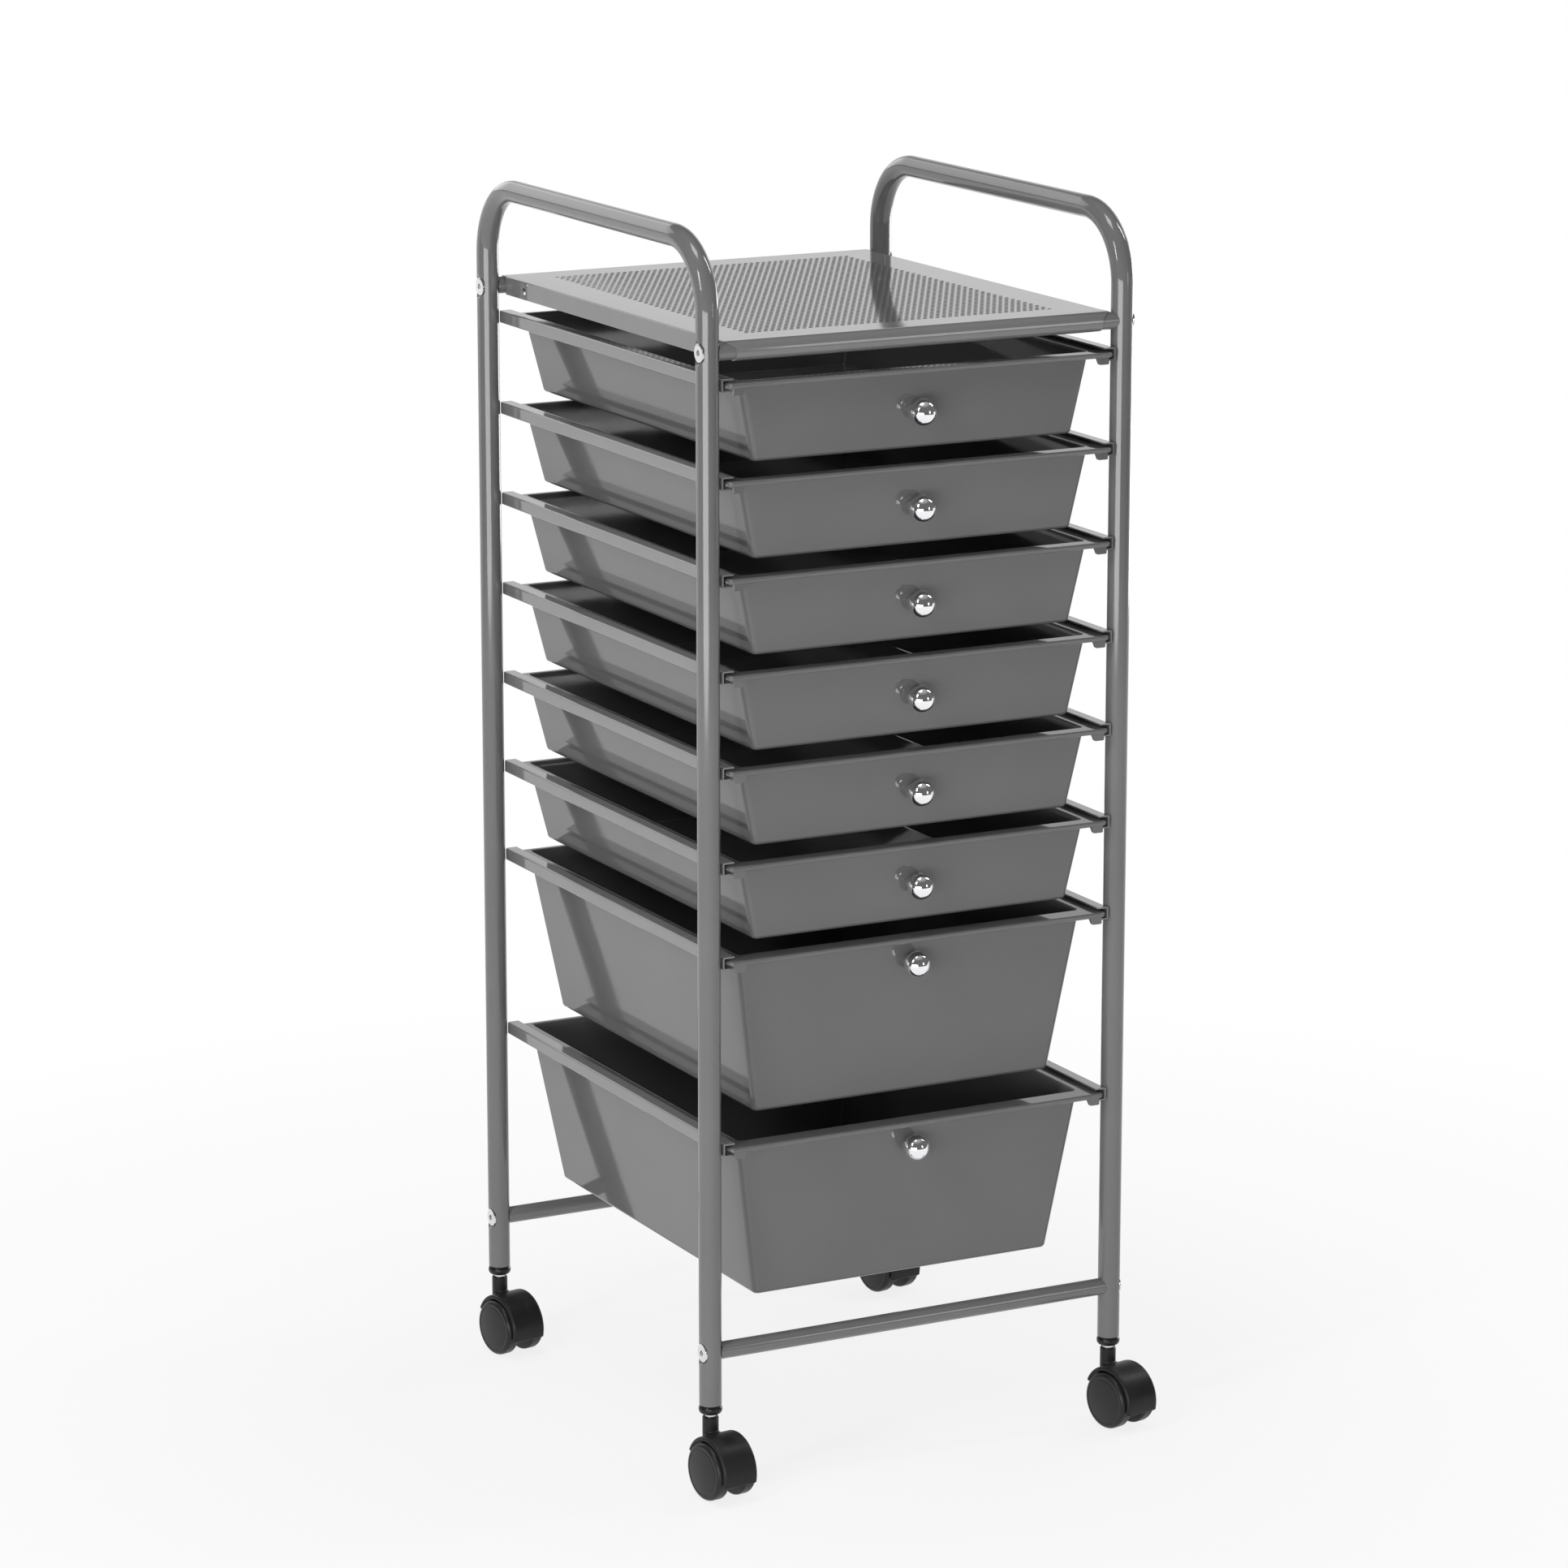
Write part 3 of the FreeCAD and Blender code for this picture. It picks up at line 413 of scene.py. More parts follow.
class Effects:
    """Shader node groups that several finishes share."""

    DRIFT_RANGE = (0.32, 0.68)
    UPWARD_RANGE = (0.35, 0.95)
    PATCH_RANGE = (0.38, 0.75)
    COARSE_SIZE = 0.16
    COARSE_HEIGHT = 0.33

    def __init__(self) -> None:
        """Builds each group once."""
        self.drift = self.make_drift()
        self.peel = self.make_peel()
        self.dust = self.make_dust()

    def make_drift(self) -> bpy.types.NodeTree:
        """Slow change over the surface: noise at the given size, stretched between Low and High."""
        graph, given, out = new_effect("drift", {"Size": 20.0, "Low": 0.0, "High": 1.0}, "Value")
        noise = graph.noise(given.outputs["Size"], detail=4.0)
        spread = graph.ranged(noise, *self.DRIFT_RANGE, given.outputs["Low"], given.outputs["High"])
        graph.link(spread, out.inputs[0])
        return graph.tree

    def make_peel(self) -> bpy.types.NodeTree:
        """Fine unevenness of paint or moulded plastic: a fine noise plus a third of a coarser one."""
        graph, given, out = new_effect("peel", {"Size": 600.0}, "Height")
        fine = graph.noise(given.outputs["Size"], detail=2.0)
        coarse_size = graph.math("MULTIPLY", given.outputs["Size"], self.COARSE_SIZE)
        coarse = graph.noise(coarse_size, detail=1.0)
        graph.link(graph.math("MULTIPLY_ADD", coarse, self.COARSE_HEIGHT, fine), out.inputs[0])
        return graph.tree

    def make_dust(self) -> bpy.types.NodeTree:
        """Dust on faces that look up: the upward share of the normal times a patchy noise times Amount."""
        graph, given, out = new_effect("dust", {"Size": 90.0, "Amount": 0.1}, "Mask")
        normal = graph.add("ShaderNodeNewGeometry").outputs["Normal"]
        height = graph.add("ShaderNodeSeparateXYZ", {0: normal}).outputs["Z"]
        upward = graph.ranged(height, *self.UPWARD_RANGE)
        patchy = graph.ranged(graph.noise(given.outputs["Size"], detail=6.0), *self.PATCH_RANGE)
        lying = graph.math("MULTIPLY", upward, patchy)
        graph.link(graph.math("MULTIPLY", lying, given.outputs["Amount"]), out.inputs[0])
        return graph.tree


@dataclass(frozen=True)
class Finish:
    """A surface finish: a drifting grey with fine unevenness and a little dust.

    Attributes:
        slot: The record's material slot, and the material's name.
        grey: Base grey as it is written, from 0 to 1.
        roughness: Lowest and highest roughness.
        spread: How far the grey drifts to either side, as a share.
        metallic: 1 for bare metal, 0 for paint and plastic.
        coat: Weight of a clear coat.
        specular: Strength of the plain gloss.
        peel_size: Fineness of the unevenness, in waves to the metre.
        peel: Height of the unevenness in millimetres.
        dust: Share of dust on faces that look up.
    """

    slot: str
    grey: float
    roughness: tuple[float, float]
    spread: float = 0.05
    metallic: float = 0.0
    coat: float = 0.0
    specular: float = 0.5
    peel_size: float = 420.0
    peel: float = 0.006
    dust: float = 0.02

    COOLNESS = 1.015
    TINT_SIZE = 14.0
    SMEAR_SIZE = 38.0
    DUST_SIZE = 110.0
    DUST_COLOUR = (0.55, 0.54, 0.52, 1.0)
    COAT_ROUGHNESS = 0.05

    def tone(self, share: float) -> Four:
        """The grey times a share, a touch cooler than neutral."""
        value = self.grey * share
        return value, value, min(value * self.COOLNESS, 1.0), 1.0

    def material(self, effects: Effects) -> bpy.types.Material:
        """Makes the material for this finish.

        Args:
            effects: The shared node groups.

        Returns:
            A material named after the slot.
        """
        made = bpy.data.materials.new(self.slot)
        made.use_nodes = True
        graph = Graph(made.node_tree)
        shader = made.node_tree.nodes["Principled BSDF"]
        drift = graph.effect(effects.drift, Size=self.TINT_SIZE, Low=0.0, High=1.0)
        tint = graph.blend(drift, self.tone(1 - self.spread), self.tone(1 + self.spread))
        mask = graph.effect(effects.dust, Size=self.DUST_SIZE, Amount=self.dust)
        low, high = self.roughness
        smear = graph.effect(effects.drift, Size=self.SMEAR_SIZE, Low=low, High=high)
        height = graph.effect(effects.peel, Size=self.peel_size)
        bump = graph.add("ShaderNodeBump", {"Height": height, "Distance": self.peel * MM, "Strength": 1.0})
        graph.link(graph.blend(mask, tint, self.DUST_COLOUR), shader.inputs["Base Color"])
        graph.link(graph.math("ADD", smear, mask, clamp=True), shader.inputs["Roughness"])
        graph.link(bump.outputs[0], shader.inputs["Normal"])
        shader.inputs["Metallic"].default_value = self.metallic
        shader.inputs["Specular IOR Level"].default_value = self.specular
        shader.inputs["Coat Weight"].default_value = self.coat
        shader.inputs["Coat Roughness"].default_value = self.COAT_ROUGHNESS
        return made


FRAME_PAINT = Finish("frame_paint", 0.165, (0.07, 0.11), coat=0.2)
# The shelf and the rails have the same grey paint as the frame. Their grey is set lighter than the frame's
# as painted light: lighter copies of one paint that stand in for the brighter light on the shelf and the
# rail webs.
SHELF_PAINT_PAINTED_LIGHT = Finish("shelf_paint", 0.190, (0.05, 0.09), coat=0.4, dust=0.03)
RAIL_PAINT_PAINTED_LIGHT = Finish("rail_paint", 0.190, (0.07, 0.12), coat=0.6)
DRAWER_PLASTIC = Finish("drawer_plastic", 0.150, (0.04, 0.08), spread=0.03, peel_size=260.0, peel=0.003,
                        dust=0.03)
KNOB_CHROME = Finish("knob_chrome", 0.90, (0.02, 0.04), spread=0.02, metallic=1.0, peel_size=200.0,
                     peel=0.0005, dust=0.01)
BOLT_STEEL = Finish("bolt_steel", 0.74, (0.08, 0.15), metallic=1.0, peel_size=900.0, peel=0.002)
INSERT_STEEL = Finish("insert_steel", 0.55, (0.30, 0.42), metallic=1.0, peel_size=1200.0, peel=0.004,
                      dust=0.05)
SCREW_STEEL = Finish("screw_steel", 0.60, (0.20, 0.32), metallic=1.0, peel_size=1200.0, peel=0.004,
                     dust=0.05)
PIN_STEEL = Finish("pin_steel", 0.66, (0.14, 0.22), metallic=1.0, peel_size=1500.0, peel=0.003, dust=0.05)
SOCKET_PLASTIC = Finish("socket_plastic", 0.012, (0.24, 0.34), spread=0.1, specular=0.3, peel_size=900.0,
                        peel=0.01)
CASTER_PLASTIC = Finish("caster_plastic", 0.014, (0.32, 0.44), spread=0.1, specular=0.25, peel_size=1100.0,
                        peel=0.02, dust=0.03)
WHEEL_PLASTIC = Finish("wheel_plastic", 0.015, (0.30, 0.42), spread=0.1, specular=0.3, peel_size=1100.0,
                       peel=0.012, dust=0.03)


@dataclass
class Dresser:
    """Gives finished pieces their material, body, node and slot."""

    effects: Effects
    made: dict[str, bpy.types.Material] = field(default_factory=dict)

    def material(self, finish: Finish) -> bpy.types.Material:
        """The material of a finish, made on its first use."""
        if finish.slot not in self.made:
            self.made[finish.slot] = finish.material(self.effects)
        return self.made[finish.slot]

    def dress(self, shape: Shape, finish: Finish, body: str, node: str, sheet: float = 0.0) -> None:
        """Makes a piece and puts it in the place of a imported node.

        Args:
            shape: Points and faces of the piece.
            finish: What it is covered with.
            body: The body that it moves with.
            node: The node that it stands for.
            sheet: Thickness to give an open sheet.
        """
        piece = shape.made(f"{node}_dressed", sheet)
        piece.data.materials.append(self.material(finish))
        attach(piece, body)
        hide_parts(node)
        log.info("%s on %s, %d faces", piece.name, body, len(piece.data.polygons))

    def cover(self, node: str, finish: Finish) -> None:
        """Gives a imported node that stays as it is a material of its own."""
        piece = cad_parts[node]
        piece.data.materials.clear()
        piece.data.materials.append(self.material(finish))
        log.info("%s keeps its packed shape", node)


# Frame


@dataclass
class SideFrames:
    """The two bent tubes, legs and handle bar in one, with a pressed seat for each bolt."""

    radius: float = 7.75
    wall: float = 1.2
    handle: float = 855.0
    bend: float = 48.0
    seat_deep: float = 2.75
    seat_flat: float = 6.4
    seat_blend: float = 1.9
    around: int = 80
    bend_steps: int = 29
    seat_steps: int = 33

    def tube(self, side: Side, radius: float) -> Array:
        """Skin of the tube: a ring about the path, which is two quarter bends with their legs.

        A path point is the bend's middle plus the bend radius along the bend angle, and the ring about it
        is spanned by the x axis and that same direction.

        Args:
            side: Where the tube stands.
            radius: Radius of the skin.

        Returns:
            Grid of shape (path points, ring points, 3).
        """
        reach = np.linspace(-1, 1, self.seat_steps) * (self.seat_flat + self.seat_blend)
        leg = np.concatenate([[LEG_BOTTOM], BAR_HEIGHTS["bottom"] + reach, BAR_HEIGHTS["top"] + reach])
        first = np.linspace(180, 90, self.bend_steps)
        angle = np.radians(np.concatenate([
            np.full_like(leg, 180), first, 180 - first[::-1], np.zeros_like(leg)]))
        middle = LEG_Y - self.bend
        centre_y = np.where(np.arange(len(angle)) < len(angle) // 2, -middle, middle)
        centre_z = np.concatenate([leg, np.full(2 * self.bend_steps, self.handle - self.bend), leg[::-1]])
        out = joined(0.0, np.cos(angle), np.sin(angle))
        path = joined(0.0, centre_y, centre_z) + self.bend * out
        turn = ring_angles(self.around)[:, None]
        across = np.cos(turn) * np.array([1.0, 0, 0])
        skin = path[:, None] + radius * (across[None] + np.sin(turn)[None] * out[:, None])
        return self.pressed(skin, radius) * (side.value, 1, 1) + (LEG_X * side.value, 0, 0)

    def pressed(self, skin: Array, radius: float) -> Array:
        """Presses a seat for each bolt: flat out to a radius, then back to the tube with level ends."""
        for end in End:
            for height in BAR_HEIGHTS.values():
                away = np.hypot(skin[..., 1] - LEG_Y * end.value, skin[..., 2] - height)
                back = smooth_step((away - self.seat_flat) / self.seat_blend)
                skin[..., 0] = np.minimum(skin[..., 0], radius - self.seat_deep * (1 - back))
        return skin

    def build(self, dresser: Dresser) -> None:
        """Makes both side frames, each a tube with an inside."""
        for side in Side:
            shape = Shape()
            shape.pipe(self.tube(side, self.radius), self.tube(side, self.radius - self.wall))
            dresser.dress(shape, FRAME_PAINT, FIXED_BODY, f"side_frame_{side.label}")


@dataclass
class Crossbars:
    """Four tubes between the side frames, their ends cut to the round of the legs."""

    radius: float = 6.0
    wall: float = 1.2
    leg_clear: float = 8.2
    stations: tuple[float, ...] = (-1.0, -0.985, -0.5, 0.5, 0.985, 1.0)
    around: int = 48

    def skin(self, y: float, z: float, radius: float) -> Array:
        """Skin of a bar: rings along x whose ends lie on a cylinder about the leg.

        Args:
            y: Where the bar lies.
            z: Height of its axis.
            radius: Radius of the skin.

        Returns:
            Grid of shape (stations, ring points, 3).
        """
        turn = ring_angles(self.around)
        reach = LEG_X - np.sqrt(self.leg_clear ** 2 - (radius * np.sin(turn)) ** 2)
        share = np.array(self.stations)[:, None]
        return joined(share * reach, y + radius * np.sin(turn), z + radius * np.cos(turn))

    def build(self, dresser: Dresser) -> None:
        """Makes the four bars."""
        for end in End:
            y = LEG_Y * end.value
            for level, height in BAR_HEIGHTS.items():
                shape = Shape()
                shape.pipe(self.skin(y, height, self.radius), self.skin(y, height, self.radius - self.wall))
                dresser.dress(shape, FRAME_PAINT, FIXED_BODY, f"crossbar_{end.label}_{level}")


@dataclass(frozen=True)
class HeadedScrew:
    """A screw with a domed head and a recess for the tool."""

    shank: float
    length: float
    head: float
    head_high: float
    rim_high: float
    drive: Drive
    drive_size: float
    drive_deep: float
    drive_taper: float = 0.93
    drive_lip: float = 0.12
    lip_sink: float = 0.02
    arm_root: float = 0.36
    arm_power: float = 0.8
    tip: float = 0.6
    edge: float = 0.15
    crown_margin: float = 0.35
    around: int = 48

    def recess(self) -> Array:
        """Radius of the recess at each angle: a hexagon's flats, or four rounded arms."""
        turn = ring_angles(self.around)
        if self.drive is Drive.HEXAGON:
            half_side = np.pi / self.drive.value
            return self.drive_size / np.cos(np.mod(turn, 2 * half_side) - half_side)
        arms = np.clip(np.cos(self.drive.value * turn), 0, 1) ** self.arm_power
        return self.drive_size * (self.arm_root + (1 - self.arm_root) * arms)

    def surface(self, base: Point, axis: Point) -> Array:
        """Rings from the shank's tip over the head's dome into the recess.

        The dome is an ellipse's quarter from the head's rim to a flat crown; the recess rings take its
        outline.

        Args:
            base: Point under the middle of the head.
            axis: Direction from the shank to the head.

        Returns:
            Grid of shape (rings, points, 3), closed round the axis.
        """
        recess = self.recess()
        crown = float(recess.max()) + self.crown_margin
        swell = np.radians(np.linspace(0, 90, 8))
        dome_r = crown + (self.head - crown) * np.cos(swell)
        dome_h = self.rim_high + (self.head_high - self.rim_high) * np.sin(swell)
        sunk = np.array([self.lip_sink, self.drive_lip, self.drive_deep])
        heights = np.concatenate([
            [-self.length, -self.length + self.tip, 0, 0, self.edge], dome_h, self.head_high - sunk])
        round_rings = np.concatenate([
            [self.shank - self.tip, self.shank, self.shank, self.head - self.edge, self.head], dome_r])
        radii = np.vstack([
            np.repeat(round_rings[:, None], self.around, axis=1),
            recess + self.drive_lip, recess, recess * self.drive_taper])
        return turned(np.hstack([heights[:, None], radii]), base, axis, self.around)


FRAME_BOLT = HeadedScrew(shank=3.0, length=12.0, head=6.3, head_high=1.6, rim_high=1.15, drive=Drive.HEXAGON,
                         drive_size=2.0, drive_deep=1.4)
KNOB_SCREW = HeadedScrew(shank=1.95, length=9.0, head=3.8, head_high=2.5, rim_high=1.2, drive=Drive.CROSS,
                         drive_size=2.1, drive_deep=1.3)


@dataclass
class FrameBolts:
    """Eight flat-headed bolts through the legs into the cross bars."""

    screw: HeadedScrew = FRAME_BOLT
    seat_x: float = 162.2

    def build(self, dresser: Dresser) -> None:
        """Makes the bolts as one piece."""
        shape = Shape()
        for side in Side:
            for end in End:
                for height in BAR_HEIGHTS.values():
                    base = (self.seat_x * side.value, LEG_Y * end.value, height)
                    shape.loft(self.screw.surface(base, (side.value, 0, 0)))
        dresser.dress(shape, BOLT_STEEL, FIXED_BODY, "frame_bolts")


@dataclass
class TopShelf:
    """Perforated sheet with rolled front and rear edges and turned-down sides.

    The roll's turn, its narrowing and what is left of it at its last stations are in degrees.
    """

    half: float = 146.0
    top: float = 790.25
    sheet: float = 0.7
    roll_radius: float = 6.75
    roll_turn: float = 230.0
    roll_half: float = 138.5
    roll_corner: float = 3.0
    roll_across: int = 21
    narrow_from: float = 8.0
    narrow_over: float = 70.0
    edge_left: tuple[float, ...] = (26.0, 22.0, 18.0, 13.0, 8.0, 4.0, 1.5, 0.0)
    tongue_half: float = 145.5
    side_half: float = 165.0
    side_stations: tuple[float, ...] = (-60.0, 0.0, 60.0)
    lip: float = 12.7
    fold: float = 1.3
    fold_steps: int = 6
    edge_hole: float = 5.4
    edge_hole_out: float = 135.0
    edge_hole_room: float = 6.0
    edge_hole_cells: int = 4
    pitch: float = 4.8
    hole: float = 3.3
    columns: int = 49
    rows: int = 71

    @property
    def step(self) -> float:
        """Distance from one row of holes to the next."""
        return self.pitch * math.sqrt(3) / 2

    @property
    def field_half(self) -> tuple[float, float]:
        """Half width and half length of the perforated field."""
        return self.columns * self.pitch / 2, self.rows * self.step / 2

    def flat(self, plan: Array) -> Array:
        """Lifts points of the plan to the shelf's top."""
        return joined(plan[..., 0], plan[..., 1], self.top)

    def middles(self, count: int, y: Array) -> Array:
        """Middles of the cells in rows at the given y, a number of cells in each."""
        x = (np.arange(count) - (count - 1) / 2) * self.pitch
        return np.stack(np.meshgrid(x, y), -1).reshape(-1, 2)

    def add_field(self, shape: Shape) -> None:
        """Rows of cells, each a hole in a rectangle; every second row is shifted by half a pitch.

        A cell's rim points lie at its corners and side middles, so that shifted rows share them, and the
        hole is a regular octagon about the same middle. Half cells without a hole square up the shifted
        rows.
        """
        half_size = np.array([self.pitch / 2, self.step / 2])
        corners = np.array([[1, 0], [1, 1], [0, 1], [-1, 1], [-1, 0], [-1, -1], [0, -1], [1, -1]])
        turn = ring_angles(len(corners))
        hole = np.stack([np.cos(turn), np.sin(turn)], -1) * self.hole / 2
        y = (np.arange(self.rows) - (self.rows - 1) / 2) * self.step
        shifted = y[1::2]
        centres = np.concatenate([
            self.middles(self.columns, y[0::2]), self.middles(self.columns - 1, shifted)])
        cells = centres[:, None, None] + np.stack([corners * half_size, hole])[None]
        index = np.arange(cells.size // 2).reshape(cells.shape[:3])
        after = np.roll(index, -1, axis=2)
        quads = np.stack([index[:, 0], after[:, 0], after[:, 1], index[:, 1]], -1)
        shape.add(self.flat(cells), quads.reshape(-1, 4))
        half_cell = np.array([[0, -1], [1, -1], [1, 0], [1, 1], [0, 1], [0, 0]]) * half_size
        for side in Side:
            start = np.stack([np.full_like(shifted, self.field_half[0] * side.value), shifted], -1)
            blanks = start[:, None] + half_cell * (-side.value, 1)
            shape.add(self.flat(blanks), np.arange(blanks.size // 2).reshape(blanks.shape[:2]))

    def roll(self, end: End) -> Array:
        """A rolled edge: the sheet goes round the bar and narrows in an S from the top to the front face.

        Args:
            end: Front or rear edge.

        Returns:
            Grid of shape (angles, stations across, 3), whose first row is the end of the flat sheet.
        """
        angle = np.concatenate([
            np.linspace(0, self.narrow_from + self.narrow_over, 15),
            np.linspace(90, self.roll_turn - self.edge_left[0], 11),
            self.roll_turn - np.array(self.edge_left[1:])])
        left = np.radians(self.roll_turn - angle) * self.roll_radius
        short = np.clip(self.roll_corner - left, 0, self.roll_corner)
        rounding = self.roll_corner - np.sqrt(self.roll_corner ** 2 - short ** 2)
        narrowed = smooth_step((angle - self.narrow_from) / self.narrow_over)
        width = self.tongue_half + (self.roll_half - self.tongue_half) * narrowed - rounding
        share = np.sin(np.linspace(-1, 1, self.roll_across) * np.pi / 2)
        turn = np.radians(angle)[:, None]
        return joined(width[:, None] * share, end.value * (LEG_Y + self.roll_radius * np.sin(turn)),
                      self.top - self.roll_radius * (1 - np.cos(turn)))

    def turned_edge(self) -> tuple[Array, Array]:
        """The right-hand edge: a quarter fold and a straight lip below it, at stations along y.

        Returns:
            The grid of shape (rows, stations, 3), and the stations along y.
        """
        fold = arc((self.half - self.fold, self.top - self.fold), self.fold, 90, 0, self.fold_steps)
        lip = np.linspace(self.top - self.fold, self.top - self.lip, self.edge_hole_cells + 1)[1:]
        section = np.concatenate([fold, np.stack([np.full_like(lip, self.half), lip], -1)])
        room = np.linspace(-self.edge_hole_room, self.edge_hole_room, self.edge_hole_cells + 1)
        near_hole = self.edge_hole_out + room
        stations = np.concatenate([
            [-self.side_half], -near_hole[::-1], self.side_stations, near_hole, [self.side_half]])
        return joined(section[:, :1], stations, section[:, 1:]), stations

    def add_sides(self, shape: Shape) -> None:
        """Both turned-down edges, with a round hole near each end, and the plain sheet beside the field."""
        edge, stations = self.turned_edge()
        inner, length = self.field_half
        cells, lip_row = self.edge_hole_cells, self.fold_steps - 1
        keep = np.ones((edge.shape[0] - 1, edge.shape[1] - 1), bool)
        nearest = [int(np.argmin(abs(stations - end.value * self.edge_hole_out))) for end in End]
        blocks = [station - cells // 2 for station in nearest]
        for first in blocks:
            keep[lip_row:lip_row + cells, first:first + cells] = False
        tongue = self.tongue_half
        field_y = np.linspace(length, -length, self.rows * 2 + 1)
        border = np.concatenate([
            [[tongue, -LEG_Y], [tongue, -self.side_half]], edge[0, :, :2],
            [[tongue, self.side_half], [tongue, LEG_Y]],
            np.stack([np.full_like(field_y, inner), field_y], -1)])
        for side in Side:
            mirror = (side.value, 1, 1)
            shape.grid(edge * mirror, keep=keep)
            shape.lid(self.flat(border) * mirror)
            for first in blocks:
                block = edge[lip_row:lip_row + cells + 1, first:first + cells + 1]
                rim = np.concatenate([block[0, :-1], block[:-1, -1], block[-1, :0:-1], block[:0:-1, 0]])
                middle = block[cells // 2, cells // 2]
                away = rim - middle
                hole = middle + away / np.linalg.norm(away, axis=1, keepdims=True) * self.edge_hole / 2
                shape.grid(np.stack([rim, hole]) * mirror, ring=True)

    def add_ends(self, shape: Shape) -> None:
        """Both rolled edges and the plain sheet between them and the field."""
        inner, length = self.field_half
        field_x = np.linspace(inner, -inner, self.columns * 2 + 1)
        for end in End:
            roll = self.roll(end)
            shape.grid(roll)
            shape.lid(np.concatenate([roll[0], joined(field_x, end.value * length, self.top)]))

    def build(self, dresser: Dresser) -> None:
        """Makes the shelf as one sheet and gives it its thickness."""
        shape = Shape()
        self.add_field(shape)
        self.add_sides(shape)
        self.add_ends(shape)
        dresser.dress(shape, SHELF_PAINT_PAINTED_LIGHT, FIXED_BODY, "top_shelf", self.sheet)


@dataclass
class Rails:
    """Sixteen folded channels, open towards the middle of the cart."""

    web: float = 149.2
    width: float = 8.5
    high: float = 9.0
    sheet: float = 1.0
    edge: float = 0.15
    outer_fold: float = 1.3
    inner_fold: float = 0.4
    front: float = -177.0
    rear: float = 169.0

    def section(self) -> Array:
        """Outline of the channel: across from the back of the web, and up from its lower face."""
        out, into, inner = self.outer_fold, self.sheet + self.inner_fold, self.inner_fold
        high, wide, edge = self.high, self.width, self.edge
        return np.concatenate([
            [[wide, edge], [wide - edge, 0]],
            arc((out, out), out, 270, 180, 5), arc((out, high - out), out, 180, 90, 5),
            [[wide - edge, high], [wide, high - edge], [wide, high - self.sheet]],
            arc((into, high - into), inner, 90, 180, 3), arc((into, into), inner, 180, 270, 3),
            [[wide, self.sheet]]])

    def build(self, dresser: Dresser) -> None:
        """Makes one piece for each level, with a channel on each side."""
        across, rise = self.section().T
        for level, top in enumerate(RAIL_TOPS, start=1):
            shape = Shape()
            for side in Side:
                placed = np.stack([side.value * (self.web - across), top - self.high + rise], -1)
                shape.bar(placed, self.front, self.rear)
            dresser.dress(shape, RAIL_PAINT_PAINTED_LIGHT, FIXED_BODY, f"rails_level_{level}")


# Drawers


@dataclass(frozen=True)
class TubSizes:
    """Sizes in which the two kinds of drawer differ; depths count down from the rail's top."""

    depth: float
    floor_half: float
    floor_front: float
    floor_rear: float
    mouth_front: float
    knob_drop: float


class DrawerKind(Enum):
    """The two kinds of drawer."""

    SHALLOW = TubSizes(58.3, 121.3, 167.4, 158.7, 170.4, 32.7)
    DEEP = TubSizes(117.5, 115.0, 155.6, 149.7, 166.7, 23.4)


@dataclass
class Knob:
    """A plated ball on a short neck, held by a screw from inside the drawer.

    The neck's rings give heights, and how far each stands out from the neck.
    """

    screw: HeadedScrew = KNOB_SCREW
    ball: float = 9.2
    neck: float = 4.75
    neck_long: float = 0.9
    neck_rings: tuple[tuple[float, float], ...] = ((0.0, -0.1), (0.15, 0.15), (0.45, 0.15), (0.75, -0.2))
    around: int = 56

    def profile(self) -> Array:
        """Heights and radii of the knob: a coved neck, then the ball from the neck to its pole."""
        middle = self.neck_long + math.sqrt(self.ball ** 2 - self.neck ** 2)
        start = math.degrees(math.asin(self.neck / self.ball))
        ball = arc((middle, 0), self.ball, 180 - start, 0, 30)
        ball[-1, 1] = 0
        return np.concatenate([[[0, 0]], np.array(self.neck_rings) + (0, self.neck), ball])

    def build(self, dresser: Dresser, level: int, front: Point, rear: Point) -> None:
        """Makes a knob and its screw.

        Args:
            dresser: Gives the pieces their finish and body.
            level: The drawer that carries them.
            front: Middle of the pad outside the drawer's front.
            rear: Middle of the pad inside it.
        """
        body = f"drawer_unit_{level}"
        shape = Shape()
        shape.grid(turned(self.profile(), front, TO_FRONT, self.around), ring=True)
        dresser.dress(shape, KNOB_CHROME, body, f"knob_{level}")
        shape = Shape()
        shape.loft(self.screw.surface(rear, TO_REAR))
        dresser.dress(shape, SCREW_STEEL, body, f"knob_screw_{level}")


